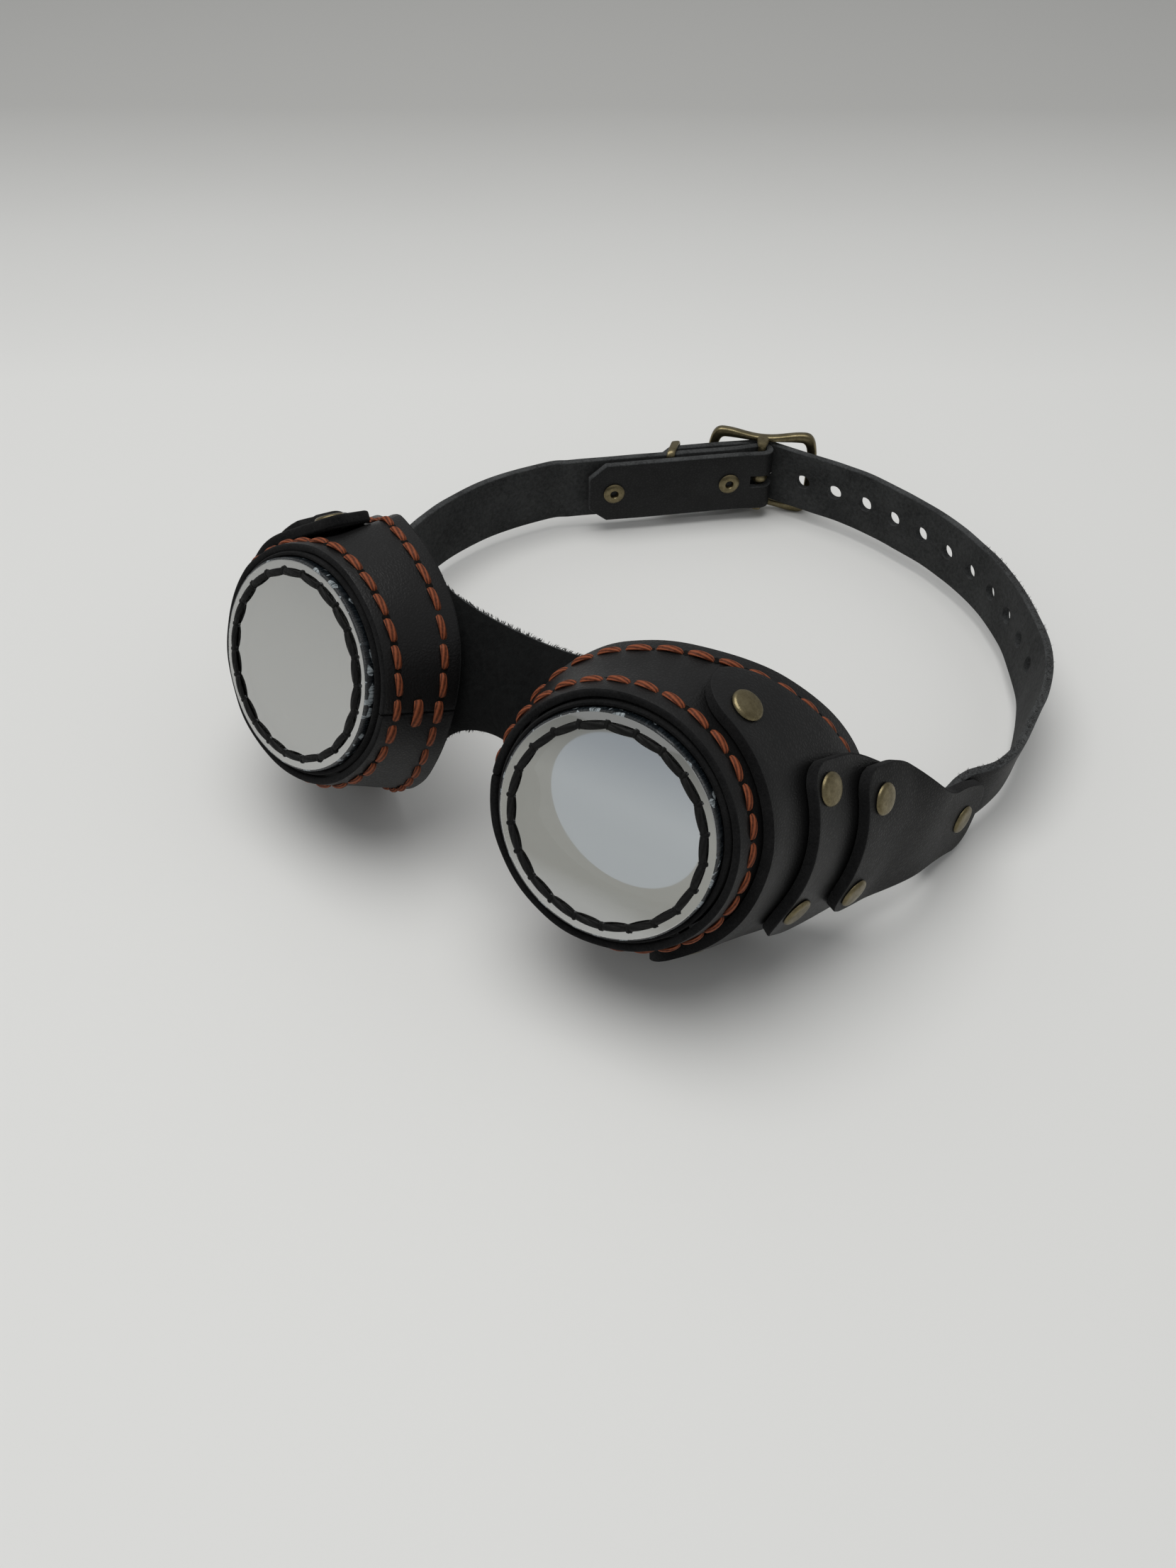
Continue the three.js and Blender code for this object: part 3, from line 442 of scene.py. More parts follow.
def tab_surface(u, v):
    tall, tail_tall = 37, 21
    from_end = min(v, 1 - v) * tall
    front = 32.6 + waist(v, 2) + 1.4 * (1 - v) ** 2 + corner_draw(from_end, 8 if v < 0.5 else 6)
    depth = lerp(front, 92.5 - corner_draw(from_end * tail_tall / tall, 6), u)
    top = lerp(17.5, 5.5, smooth(depth, 44, 74)) - 2 * smooth(depth, 76, 92)
    low = lerp(-18.6, -15.5, smooth(depth, 44, 78))
    height = lerp(low, top, v)
    x = lerp(cone_x(depth, height, TAB_OFFSET), tail_x(depth, height), smooth(depth, 50, 70))
    return Vector((x, height, -depth))


tab_leather = leather("tab_leather", overlay_dark, overlay_light, 0.46, 0.34, gleam=0.15)
for side, word in SIDES:
    bm = bmesh.new()
    sheet(bm, tab_surface, WALL, 48, 48, 1, cup(side), wave=0.25, seed=14 + side, round_edge=0.55)
    skins = (tab_leather, cut_edge, flesh)
    piece("tab_" + word, bm, skins, "front", "leather", "strap_tab_" + word)

# Lens collars: a leather liner glued inside each cup mouth, with a ledge behind the lens.
# Its front edge shows as a second dark ring inside the wall's own cut rim.


def turned(bm, outline, segments, place, slot=0, uneven=0.0):
    """Turns an outline of (radius, height) round +Z."""
    rings = []
    for r, z in outline:
        if r == 0:
            rings.append([bm.verts.new(place @ Vector((0, 0, z)))])
            continue
        ring = []
        for k in range(segments):
            a = 2 * pi * k / segments
            wobble = 1 + uneven * noise.noise(Vector((cos(a) * 4, sin(a) * 4, r)))
            ring.append(bm.verts.new(place @ Vector((r * wobble * cos(a), r * wobble * sin(a), z))))
        rings.append(ring)
    made = []
    layer = bm.loops.layers.uv.verify()
    runs = [0.0]
    for (r0, z0), (r1, z1) in zip(outline, outline[1:] + outline[:1]):
        runs.append(runs[-1] + math.hypot(r1 - r0, z1 - z0))
    widest = max(r for r, z in outline)
    closed = outline[0][0] > 0
    for i in range(len(rings) if closed else len(rings) - 1):
        a, b = rings[i], rings[(i + 1) % len(rings)]
        for k in range(segments):
            corners = {}
            near, far = runs[i], runs[i + 1]
            for ring, at, run in ((a, k, near), (a, k + 1, near), (b, k + 1, far), (b, k, far)):
                corners.setdefault(ring[at % len(ring)], (2 * pi * widest * at / segments, run))
            if len(corners) > 2:
                face = bm.faces.new(list(corners))
                for loop in face.loops:
                    loop[layer].uv = corners[loop.vert]
                made.append(face)
    for face in made:
        face.material_index = slot
    bmesh.ops.recalc_face_normals(bm, faces=made)
    return made


def inner_radius(depth):
    return wall_radius(depth) - LAYER * math.hypot(1, FLARE)


for side, word in SIDES:
    bm = bmesh.new()
    outline = [(20.5, -3.5), (20.8, -3.3), (25.15, -3.3), (25.2, -2.2), (25.45, -1.9), (25.9, -1.85),
               (26.2, -2.1), (26.3, -2.6), (26.35, -8), (inner_radius(10.3), -10.3),
               (inner_radius(10.3) - 2.2, -10.3), (inner_radius(6.2) - 2.2, -6.2),
               (inner_radius(5.5) - 2.8, -5.5), (20.8, -5.5), (20.5, -5.3)]
    turned(bm, outline, 120, cup(side))
    piece("collar_" + word, bm, (cut_edge,), "front", "leather", "lens_collar_" + word)

# Lenses: discs sawn from 3 mm half-mirrored acrylic, so the glossy faces show the pale table.
# The edges are dark with fine saw marks across them and a few bright chipped facets.
ACRYLIC_IOR = 1.49
lens_face, nodes, shader = material("acrylic_face", Metallic=0.56, Transmission_Weight=1.0,
                                    IOR=ACRYLIC_IOR, Base_Color=(0.86, 0.865, 0.845, 1))
haze = nodes.noise(nodes.at(), 70.0, 5.0)
link_surface(nodes, shader, None, nodes.remap(haze, 0.35, 0.75, 0.006, 0.03))

lens_back, nodes, shader = material("acrylic_back", Transmission_Weight=1.0, IOR=ACRYLIC_IOR,
                                    Base_Color=(0.006, 0.0065, 0.007, 1))
haze = nodes.noise(nodes.at(), 90.0, 4.0)
link_surface(nodes, shader, None, nodes.remap(haze, 0.35, 0.75, 0.01, 0.05))

lens_edge, nodes, shader = material("acrylic_edge", IOR=ACRYLIC_IOR, Specular_IOR_Level=0.75)
round_way, high_way = nodes.add("SeparateXYZ", Vector=nodes.at("UV")).outputs[:2]
lines = nodes.add("CombineXYZ", X=nodes.math("MULTIPLY", round_way, 2.2),
                  Y=nodes.math("MULTIPLY", high_way, 0.25))
saw = nodes.noise(lines.outputs["Vector"], 1.0, 5.0, Roughness=0.7)
chips = nodes.add("CombineXYZ", X=nodes.math("MULTIPLY", round_way, 0.55),
                  Y=nodes.math("MULTIPLY", high_way, 0.7))
facet = nodes.add("TexVoronoi", Vector=chips.outputs["Vector"], Scale=1.0)
chance = nodes.add("SeparateColor", Color=facet.outputs["Color"]).outputs["Red"]
mixed = nodes.mix(saw, 0.75, nodes.math("GREATER_THAN", chance, 0.8), 0.24)
colour = nodes.ramp(mixed, (0.38, (0.004, 0.006, 0.008)), (0.52, (0.02, 0.028, 0.034)),
                    (0.66, (0.32, 0.36, 0.38)))
link_surface(nodes, shader, colour, nodes.remap(saw, 0.3, 0.7, 0.14, 0.45), mixed, 0.0004, 0.8)

LENS_FLAT, LENS_RADIUS, LENS_THICK = 24.5, 25, 3
for side, word in SIDES:
    bm = bmesh.new()
    outline = [(0, 0), (24.3, 0), (LENS_FLAT, 0), (24.85, -0.14), (LENS_RADIUS, -0.45),
               (LENS_RADIUS, -2.6), (24.7, -LENS_THICK), (LENS_FLAT, -LENS_THICK), (0, -LENS_THICK)]
    turned(bm, outline, 180, cup(side), uneven=0.003)
    inverse = cup(side).inverted()
    for face in bm.faces:
        local = inverse @ face.calc_center_median()
        if math.hypot(local.x, local.y) > LENS_FLAT + 0.05:
            face.material_index = 1
        elif local.z < -LENS_THICK / 2:
            face.material_index = 2
    piece("lens_" + word, bm, (lens_face, lens_edge, lens_back), "front", "acrylic", "lens_" + word)

# Lens threads: black waxed thread laced through twenty-two holes round each lens.
# Each stitch is one twisted length from hole to hole, and the drilled holes keep pale burrs.


def run_lengths(points):
    """The length walked along a list of points, at each of them."""
    runs = [0.0]
    for p, q in zip(points, points[1:]):
        runs.append(runs[-1] + (q - p).length)
    return runs


def sweep(bm, centres, across, ups, wide, high, count, closed=False, power=1.0):
    """A tube with an oval section along a list of points; its UVs are millimetres and turns."""
    rings = []
    for c, a, b, w, h in zip(centres, across, ups, wide, high):
        ring = []
        for k in range(count):
            t = 2 * pi * k / count
            x = math.copysign(abs(cos(t)) ** power, cos(t))
            y = math.copysign(abs(sin(t)) ** power, sin(t))
            ring.append(bm.verts.new(c + a * (x * w) + b * (y * h)))
        rings.append(ring)
    length = run_lengths(centres)
    layer = bm.loops.layers.uv.verify()
    made = []
    pairs = list(zip(range(len(rings)), range(1, len(rings))))
    if closed:
        pairs.append((len(rings) - 1, 0))
    for i, j in pairs:
        for k in range(count):
            m = (k + 1) % count
            face = bm.faces.new((rings[i][k], rings[i][m], rings[j][m], rings[j][k]))
            far = length[j] if j else length[i] + (centres[0] - centres[i]).length
            spots = ((length[i], k), (length[i], k + 1), (far, k + 1), (far, k))
            for loop, (run, turn) in zip(face.loops, spots):
                loop[layer].uv = (run / MM, turn / count)
            made.append(face)
    if not closed:
        made.append(bm.faces.new(list(reversed(rings[0]))))
        made.append(bm.faces.new(rings[-1]))
    bmesh.ops.recalc_face_normals(bm, faces=made)


def stitch(bm, place, curve, wide, high, slim, steps=12):
    """One stitch: curve(t) gives a point and its surface normal, and the ends dive into the holes."""
    spots = [curve(k / steps) for k in range(steps + 1)]
    centres = [place @ p for p, n in spots]
    turn = place.to_3x3()
    ups = [(turn @ n).normalized() for p, n in spots]
    across = []
    for k in range(steps + 1):
        along = centres[min(k + 1, steps)] - centres[max(k - 1, 0)]
        across.append(along.cross(ups[k]).normalized())
    swell = [max(sin(pi * k / steps), 0.0) ** 0.45 for k in range(steps + 1)]
    size = [slim + (1 - slim) * s for s in swell]
    sweep(bm, centres, across, ups, [wide * s * MM for s in size], [high * s * MM for s in size], 10)


def thread(name, dark, light, rough):
    """Waxed twisted thread: slanting strands whose valleys are painted darker as shade, from the stitch's
    own UVs.
    """
    made, n, shader = material(name, Specular_IOR_Level=0.18)
    along, around = n.add("SeparateXYZ", Vector=n.at("UV")).outputs[:2]
    lay = n.mix(along, 1.3, around, 31.42)
    strand = n.math("MULTIPLY", n.math("ADD", n.math("SINE", lay), 1.0), 0.5)
    hairs = n.noise(n.at(), 1500.0, 4.0)
    mixed = n.mix(strand, 0.5, hairs, 0.5)
    # Painted shade in the valleys between the strands, mixed with random hair tone.
    colour = n.ramp(mixed, (0.2, dark), (0.72, light))
    gloss = n.remap(hairs, 0.3, 0.7, rough + 0.1, rough - 0.1)
    link_surface(n, shader, colour, gloss, mixed, 0.0003, 0.7)
    return made


black_thread = thread("black_thread", (0.001, 0.001, 0.001), (0.0055, 0.0058, 0.0055), 0.6)
HOLES, HOLE_CIRCLE, FIRST_HOLE = 22, 22, radians(2)
for side, word in SIDES:
    bm = bmesh.new()
    shake = random.Random(40 + side)
    for k in range(HOLES):
        a, b = (FIRST_HOLE + 2 * pi * (k + t) / HOLES for t in (-0.02, 1.02))
        lean = shake.uniform(-0.35, 0.35)

        def curve(t, a=a, b=b, lean=lean):
            start = Vector((HOLE_CIRCLE * cos(a), HOLE_CIRCLE * sin(a), 0))
            end = Vector((HOLE_CIRCLE * cos(b), HOLE_CIRCLE * sin(b), 0))
            p = start.lerp(end, t) + Vector((cos(a), sin(a), 0)) * lean * (t - 0.5)
            p.z = -0.15 + 0.75 * max(sin(pi * t), 0) ** 0.3
            return p, Vector((0, 0, 1))

        stitch(bm, cup(side), curve, 0.86, 0.45, slim=0.75)
        at = FIRST_HOLE + 2 * pi * k / HOLES
        knot = Matrix.Rotation(at, 4, "Z") @ Matrix.Translation((HOLE_CIRCLE + 0.1, 0, 0))
        lump = cup(side) @ knot @ Matrix.Diagonal((1.05, 0.72, 1, 1))
        dome = [(0, 0.82), (0.55, 0.75), (0.85, 0.5), (0.95, 0.1), (0.9, -0.1), (0, -0.1)]
        turned(bm, dome, 16, lump, uneven=0.12)
        for turn in (0.2, 2.9, 3.4):
            swing = Matrix.Rotation(turn + shake.uniform(-0.4, 0.4), 4, "Z")
            burr = cup(side) @ knot @ swing @ Matrix.Translation((0.95, 0, 0))
            size = shake.uniform(0.12, 0.3)
            chip = [(0, size * 1.6), (size, 0.1), (size, -0.05), (0, -0.05)]
            turned(bm, chip, 6, burr, slot=1, uneven=0.4)
    skins = (black_thread, lens_edge)
    piece("lens_lacing_" + word, bm, skins, "front", "black_thread", "lens_thread_" + word)

# Rust threads: heavy waxed thread in saddle stitches, one row just behind each cup mouth, one row
# before its back edge and a single cross stitch that closes the butt seam.
rust_thread = thread("rust_thread", (0.05, 0.0125, 0.005), (0.235, 0.064, 0.026), 0.65)
# Painted shade: a dark matt material for the mouths of the stitch holes and the rivet stems, with faint
# random variation.
painted_shade, nodes, shader = material("stitch_hole_shade", Roughness=0.9, Specular_IOR_Level=0.1)
shade_noise = nodes.noise(nodes.at(), 1200.0)
colour = nodes.ramp(shade_noise, (0.3, (0.002, 0.002, 0.002)), (0.7, (0.008, 0.007, 0.006)))
link_surface(nodes, shader, colour)
sewn = (rust_thread, painted_shade)


def facing(axis):
    """Turns +Z to an axis."""
    return Vector((0, 0, 1)).rotation_difference(axis).to_matrix().to_4x4()


def plug(bm, place, spot, axis, radius):
    """The mouth of a stitch hole, a small cone in painted shade."""
    outline = [(0, 0.06), (radius, 0.05), (radius + 0.25, -0.3), (0, -0.3)]
    turned(bm, outline, 10, place @ Matrix.Translation(spot) @ facing(axis), slot=1)


def arch(t, rise):
    """Height of a stitch over the leather on its way from hole to hole."""
    return -0.3 + rise * max(sin(pi * t), 0) ** 0.4


def joints(depth_at, start, end, through, pitch, samples=1500):
    """Hole angles spaced evenly along a row, with one hole at the angle through."""
    angles = [lerp(start, end, k / samples) for k in range(samples + 1)]
    runs = run_lengths([on_wall(a, depth_at(a), 0) for a in angles])
    first = runs[min(range(samples + 1), key=lambda k: abs(angles[k] - through))] % pitch
    made = []
    for k in range(int((runs[-1] - first) / pitch) + 1):
        made.append(angles[min(range(samples + 1), key=lambda i: abs(runs[i] - first - k * pitch))])
    return made


def row(bm, place, holes, depth_at, shake, dent):
    wide, high, slant = 0.95, 0.6, 0.5
    for start, end in zip(holes, holes[1:]):
        a, b = lerp(start, end, 0.05), lerp(start, end, 0.95)
        tilt = slant * shake.uniform(0.6, 1.3)
        fat = wide * shake.uniform(0.93, 1.08) * (1.2 if a < SEAM + radians(5) < b else 1)
        rise = shake.uniform(0.85, 1.1)

        def curve(t):
            angle = lerp(a, b, t)
            p = on_wall(angle, depth_at(angle) + tilt * (t - 0.5), arch(t, 0.75 * rise), dent)
            return p, wall_normal(angle)

        stitch(bm, place, curve, fat, high, slim=0.55)
        for angle, lean in ((start, -0.5), (end, 0.5)):
            spot = on_wall(angle, depth_at(angle) + lean * tilt, 0.0, dent)
            plug(bm, place, spot, wall_normal(angle), 0.7)


def back_row_depth(angle):
    return back_edge(angle) - 4.5


def cross_depth(t):
    return 10.8 + 0.3 * (t - 0.5)


def cross(t):
    angle = SEAM + (t - 0.5) * radians(13)
    return on_wall(angle, cross_depth(t), arch(t, 0.9)), wall_normal(angle)


for side, word, phase, depth, through in ((1, "right", 0, 6.5, 99.4), (-1, "left", 2, 5.6, 160.4)):
    bm = bmesh.new()
    holes = [radians(180 + phase + 12 * k) for k in range(31)]
    row(bm, cup(side), holes, lambda angle: depth, random.Random(3 + side), DENT[side])
    piece("front_row_" + word, bm, sewn, "front", "rust_thread", "front_seam_thread_" + word)
    bm = bmesh.new()
    holes = joints(back_row_depth, radians(22), radians(312), radians(through), pitch=6.6)
    row(bm, cup(side), holes, back_row_depth, random.Random(7 + side), DENT[side])
    piece("back_row_" + word, bm, sewn, "front", "rust_thread", "back_seam_thread_" + word)
    bm = bmesh.new()
    stitch(bm, cup(side), cross, 1.3, 0.65, slim=0.7)
    for end in (0, 1):
        angle = SEAM + (end - 0.5) * radians(13.4)
        plug(bm, cup(side), on_wall(angle, cross_depth(end), 0), wall_normal(angle), 0.8)
    piece("seam_cross_" + word, bm, sewn, "front", "rust_thread", "seam_stitch_" + word)

# Rivets: seven of antique brass on each temple. The caps are flat with rolled rims and an uneven
# brown patina, and each stem ends in a peened back inside the cup.
brass, nodes, shader = material("antique_brass", Metallic=1.0)
at = nodes.at()
patina = nodes.noise(at, 330.0, 6.0, Roughness=0.65)
scuff = nodes.noise(at, 1500.0, 4.0, Distortion=1.2)
mixed = nodes.mix(patina, 0.7, scuff, 0.3)
colour = nodes.ramp(mixed, (0.34, (0.1, 0.082, 0.045)), (0.5, (0.17, 0.142, 0.08)),
                    (0.66, (0.235, 0.2, 0.118)))
link_surface(nodes, shader, colour, nodes.remap(mixed, 0.35, 0.65, 0.44, 0.3), scuff, 0.00012, 0.25)
SHIELD_RIVET, MIDDLE_RIVET, TAB_RIVET = 16, 26, 42


def rivet(bm, place, origin, axis, stack):
    back = -stack - 0.4
    cap = [(0, 1.12), (1.4, 1.09), (2.5, 1.0), (3.0, 0.92), (3.2, 0.86), (3.48, 0.66), (3.66, 0.38),
           (3.7, 0.18), (3.56, 0.04), (3.1, 0.04)]
    stem = [(1.3, 0.1), (1.3, back)]
    peen = [(3.2, back), (3.4, back - 0.2), (3.3, back - 0.6), (2.2, back - 0.9), (0, back - 1)]
    segments = 40
    seat = place @ Matrix.Translation(origin) @ facing(axis)
    made = turned(bm, cap + stem + peen, segments, seat, uneven=0.012)
    # The stem band takes the painted shade, so the brass shank shows dark in the gaps under the leather.
    for face in made[len(cap) * segments:(len(cap) + 1) * segments]:
        face.material_index = 1


for side, word in SIDES:
    spots = []
    for k, degrees in enumerate((58 if side > 0 else 65, -56)):
        angle = radians(degrees)
        sag = shield_sag(angle)
        sunk = flap_drop(angle, SHIELD_RIVET, side) + 0.9 * k
        axis = wall_normal(angle)
        if side < 0 and k == 0:
            axis = (wall_normal(FREE_FROM) - Vector((0, 0, 0.185))).normalized()
        origin = on_wall(angle, SHIELD_RIVET, LAYER + sag - sunk)
        spots.append(("shield_rivet_%d" % (k + 1), origin, axis, 5.5 + sag))
    for name, depth, heights, offset, layers, stack in (
            ("middle_rivet_%d", MIDDLE_RIVET, (14.5, -14), MIDDLE_OFFSET, 2, 8.4),
            ("tab_rivet_%d", TAB_RIVET, (10.5, -12.5), TAB_OFFSET, 3, 13.4)):
        for k, height in enumerate(heights):
            angle = math.asin(height / (wall_radius(depth) + offset))
            origin = on_wall(angle, depth, layers * LAYER)
            spots.append((name % (k + 1), origin, wall_normal(angle), stack))
    tail = Vector((tail_x(TAIL_DEPTH, TAIL_HEIGHT), TAIL_HEIGHT, -TAIL_DEPTH)) + tail_normal * 1.3
    spots.append(("tail_rivet", tail, tail_normal, 5.8))
    for name, origin, axis, stack in spots:
        bm = bmesh.new()
        rivet(bm, cup(side), origin, axis, stack)
        piece("cap_%s_%s" % (name, word), bm, (brass, painted_shade), "front", "brass", "%s_%s" % (name, word))

# Face band: a soft suede strip inside the back of both cups that runs on as the nose bridge.
# The bridge bows up and forward over the nose, and its long cut edges are furry with loose fibres.
suede = raw_leather("bridge_suede", (0.0014, 0.0016, 0.0017), (0.0065, 0.007, 0.007), 700.0, 0.9)
worn_edge = raw_leather("worn_cut_edge", (0.016, 0.0165, 0.017), (0.07, 0.073, 0.074), 1400.0, 0.7)
fibre, nodes, shader = material("loose_fibre", Roughness=0.9, Sheen_Weight=0.3)
strands = nodes.noise(nodes.at(), 800.0)
colour = nodes.ramp(strands, (0.3, (0.004, 0.004, 0.004)), (0.7, (0.02, 0.0195, 0.019)))
link_surface(nodes, shader, colour)
BAND_OFFSET = -WALL - 0.3 - 0.9
upward = Vector((0, sin(radians(22)), cos(radians(22))))
to_scene = Matrix.Scale(MM, 4) @ Matrix.Translation(ORIGIN)
to_plain = to_scene.inverted()


def wing(w, beyond):
    angle = radians(lerp(210, 116, w))
    return to_plain @ (cup(1) @ on_wall(angle, back_edge(angle) + beyond, BAND_OFFSET))


def bridge_surface(u, w):
    half = abs(2 * u - 1)
    root, edge, out = wing(w, -3), wing(w, 0.9), wing(w, 3.9)
    rise = (lerp(-4, 20, w) - edge.dot(upward)) / 0.75
    control = out + upward * rise
    if half > 0.75:
        p = root.lerp(edge, (1 - half) / 0.25)
    else:
        t = 0.5 - half / 1.5
        far, near = (Vector((-q.x, q.y, q.z)) for q in (edge, control))
        p = edge * (1 - t) ** 3 + control * 3 * t * (1 - t) ** 2
        p += near * 3 * t * t * (1 - t) + far * t ** 3
    return Vector((-p.x, p.y, p.z)) if u < 0.5 else p


def fuzz(bm, place, curve, count, longest, shake, slot):
    """Loose fibres on a cut edge: curve(t) gives a point, an outward way and a sideways way."""
    made = []
    for k in range(count):
        p, out, aside = curve(shake.random())
        tip = out * shake.uniform(0.3, longest) + aside * shake.uniform(-0.8, 0.8)
        start = p + aside * shake.uniform(-0.7, 0.7) - out * 0.15
        bend = start + tip * 0.5 + Vector([shake.uniform(-0.25, 0.25) for _ in range(3)])
        thin = tip.cross(aside).normalized() * shake.uniform(0.04, 0.15)
        flat = thin.cross(tip).normalized() * 0.04
        ways = (thin - flat, flat, -thin - flat)
        low = [bm.verts.new(place @ (start + way)) for way in ways]
        mid = [bm.verts.new(place @ (bend + way * 0.8)) for way in ways]
        end = bm.verts.new(place @ (start + tip))
        made.append(bm.faces.new(low))
        for i, j in ((0, 1), (1, 2), (2, 0)):
            made.append(bm.faces.new((low[j], low[i], mid[i], mid[j])))
            made.append(bm.faces.new((mid[j], mid[i], end)))
    for face in made:
        face.material_index = slot
    bmesh.ops.recalc_face_normals(bm, faces=made)


def band_surface(dent):
    def surface(u, v):
        angle = u * 2 * pi
        return on_wall(angle, back_edge(angle) - lerp(7, 0.2, v), BAND_OFFSET, dent)

    return surface


bm = bmesh.new()
for side, dent in DENT.items():
    sheet(bm, band_surface(dent), 1.8, 96, 3, -1, cup(side), round_edge=0.4)
sheet(bm, bridge_surface, 1.6, 96, 20, -1, to_scene, wave=0.25, seed=2.0, round_edge=0.25)
shake = random.Random(11)
for w, way in ((0, -1), (1, 1)):
    def edge(t, w=w, way=way):
        u = lerp(0.14, 0.86, t)
        inside = bridge_surface(u, w - way * 0.04)
        p = bridge_surface(u, w)
        out = (p - inside).normalized()
        along = bridge_surface(u + 0.01, w) - bridge_surface(u - 0.01, w)
        return p, out, along.cross(out).normalized()

    fuzz(bm, to_scene, edge, 420, 1.2, shake, 3)
piece("face_band_suede", bm, (suede, worn_edge, suede, fibre), "front", "suede", "face_band")

# Head strap: 20 mm wide black leather, grain out and suede in. The right half carries the punched
# holes and passes over the fold into the keeper; the left half folds round the buckle bar.
STRAP = 2.2
STRAP_HALF = 10
STRAP_Z = -35.916
HOLE_PITCH, HOLE_RADIUS = 11.4, 2.4
OVER_BAR, FOLD_BAR = 5.2, 2.7
LOOP_DEPTH = 106.5
ANCHOR = (88.447, 82.172)
BAR = Vector((-27.330, 188.672))
along_way = Vector((cos(radians(45)), sin(radians(45))))
out_way = Vector((-along_way.y, along_way.x))
leaving = Vector((sin(TAIL_YAW), cos(TAIL_YAW)))


def in_section(along, out):
    return BAR + along_way * along + out_way * out


def around_bar(degrees, radius):
    return BAR + Vector((cos(radians(degrees)), sin(radians(degrees)))) * radius


def strap_start(side, route):
    points = [Vector(ANCHOR) + leaving * d for d in (-11, -5.5, 0, 5)]
    points += [Vector((share * ANCHOR[0], ANCHOR[1] + behind * LOOP_DEPTH)) for share, behind in route]
    return [Vector((side * p.x, p.y)) for p in points]


def spline(points, steps):
    """Catmull-Rom through plan points."""
    made = []
    for i in range(len(points) - 1):
        a, b = points[max(i - 1, 0)], points[i]
        c, d = points[i + 1], points[min(i + 2, len(points) - 1)]
        for k in range(steps):
            t = k / steps
            v0, v1 = (c - a) * 0.5, (d - b) * 0.5
            cubic = b * 2 - c * 2 + v0 + v1
            square = c * 3 - b * 3 - v0 * 2 - v1
            made.append(cubic * t ** 3 + square * t * t + v0 * t + b)
    return made + [points[-1]]


class Line:
    """A plan path walked by its length in millimetres."""

    def __init__(self, points):
        self.points = [p for p, q in zip(points, points[1:]) if (q - p).length > 1e-4] + [points[-1]]
        self.runs = run_lengths(self.points)
        self.length = self.runs[-1]

    def at(self, run):
        i = 0
        while i < len(self.runs) - 2 and self.runs[i + 1] < run:
            i += 1
        p, q = self.points[i], self.points[i + 1]
        return p + (q - p) * ((run - self.runs[i]) / (self.runs[i + 1] - self.runs[i]))

    def way(self, run):
        return (self.at(run + 0.5) - self.at(run - 0.5)).normalized()


def strap_surface(line, clip_start, clip_end, lean):
    """A strap along a line, its ends' corners clipped; lean twists it a little behind the tab's tail."""
    def surface(u, v):
        run = u * line.length
        way = line.way(run)
        tip = lean * v * smooth(run, 18, 28) * (1 - smooth(run, 30, 52))
        foot = 1.2 * lean * (1 - v) * smooth(run, 26, 62) * (1 - smooth(run, 66, 125))
        p = line.at(run) + Vector((way.y, -way.x)) * (tip - foot)
        clipped = max(clip_start - run, 0) + max(clip_end - (line.length - run), 0)
        half = STRAP_HALF - clipped * 0.8
        top = half - 0.8 * abs(lean) * (1 - smooth(run, 22, 50))
        return Vector((p.x, p.y, STRAP_Z + lerp(-half, top, v)))

    return surface


strap_leather = leather("strap_leather", (0.0045, 0.0047, 0.0048), (0.014, 0.0144, 0.0146), 0.46, 0.34,
                        gleam=0.2)
strap_skins = (strap_leather, worn_edge, flesh)


def punch(made, cutters):
    """Cuts the punched holes and slots, with raw leather inside them."""
    mesh = bpy.data.meshes.new("punch")
    cutters.to_mesh(mesh)
    cutters.free()
    for slot in made.data.materials:
        mesh.materials.append(slot)
    mesh.polygons.foreach_set("material_index", [1] * len(mesh.polygons))
    tool = bpy.data.objects.new("punch", mesh)
    scene.collection.objects.link(tool)
    cut = made.modifiers.new("punch", "BOOLEAN")
    cut.operation = "DIFFERENCE"
    cut.solver = "EXACT"
    cut.object = tool
    bpy.context.view_layer.update()
    done = bpy.data.meshes.new_from_object(made.evaluated_get(bpy.context.evaluated_depsgraph_get()))
    made.modifiers.remove(cut)
    old = made.data
    made.data = done
    done.name = old.name
    bpy.data.objects.remove(tool)
    done.set_sharp_from_angle(angle=SHARP)


def hole(bm, p, way):
    axis = Vector((-way.y, way.x, 0))
    place = to_scene @ Matrix.Translation((p.x, p.y, STRAP_Z)) @ facing(axis)
    turned(bm, [(0, 4), (HOLE_RADIUS, 4), (HOLE_RADIUS, -4), (0, -4)], 28, place)


ROUTE_RIGHT = ((1.036, 0.135), (1.062, 0.254), (1.06, 0.404), (1.0, 0.563), (0.91, 0.676), (0.79, 0.789),
               (0.613, 0.904), (0.388, 0.997), (0.13, 1.05), (0, 1.059), (-0.152, 1.0535))
run_up = spline(strap_start(1, ROUTE_RIGHT) + [around_bar(88, OVER_BAR)], 14)
over = [around_bar(lerp(88, 135, k / 10), OVER_BAR) for k in range(1, 11)]
right_line = Line(run_up + over + [in_section(along, 5.4) for along in (-8, -24, -35)])
bm = bmesh.new()
right_surface = strap_surface(right_line, clip_start=3, clip_end=6, lean=2.8)
sheet(bm, right_surface, STRAP, 220, 8, 1, to_scene, wave=0.3, seed=4.0, round_edge=0.3)
strap_right = piece("strap_right_leather", bm, strap_skins, "strap", "leather", "strap_right")
cutters = bmesh.new()
back_run = Line(list(reversed(run_up)))
for k in range(1, 12):
    run = k * HOLE_PITCH + 2
    hole(cutters, back_run.at(run), back_run.way(run))
tongue_hole = around_bar(96, OVER_BAR)
way = (tongue_hole - BAR).normalized()
hole(cutters, tongue_hole, Vector((way.y, -way.x)))
punch(strap_right, cutters)


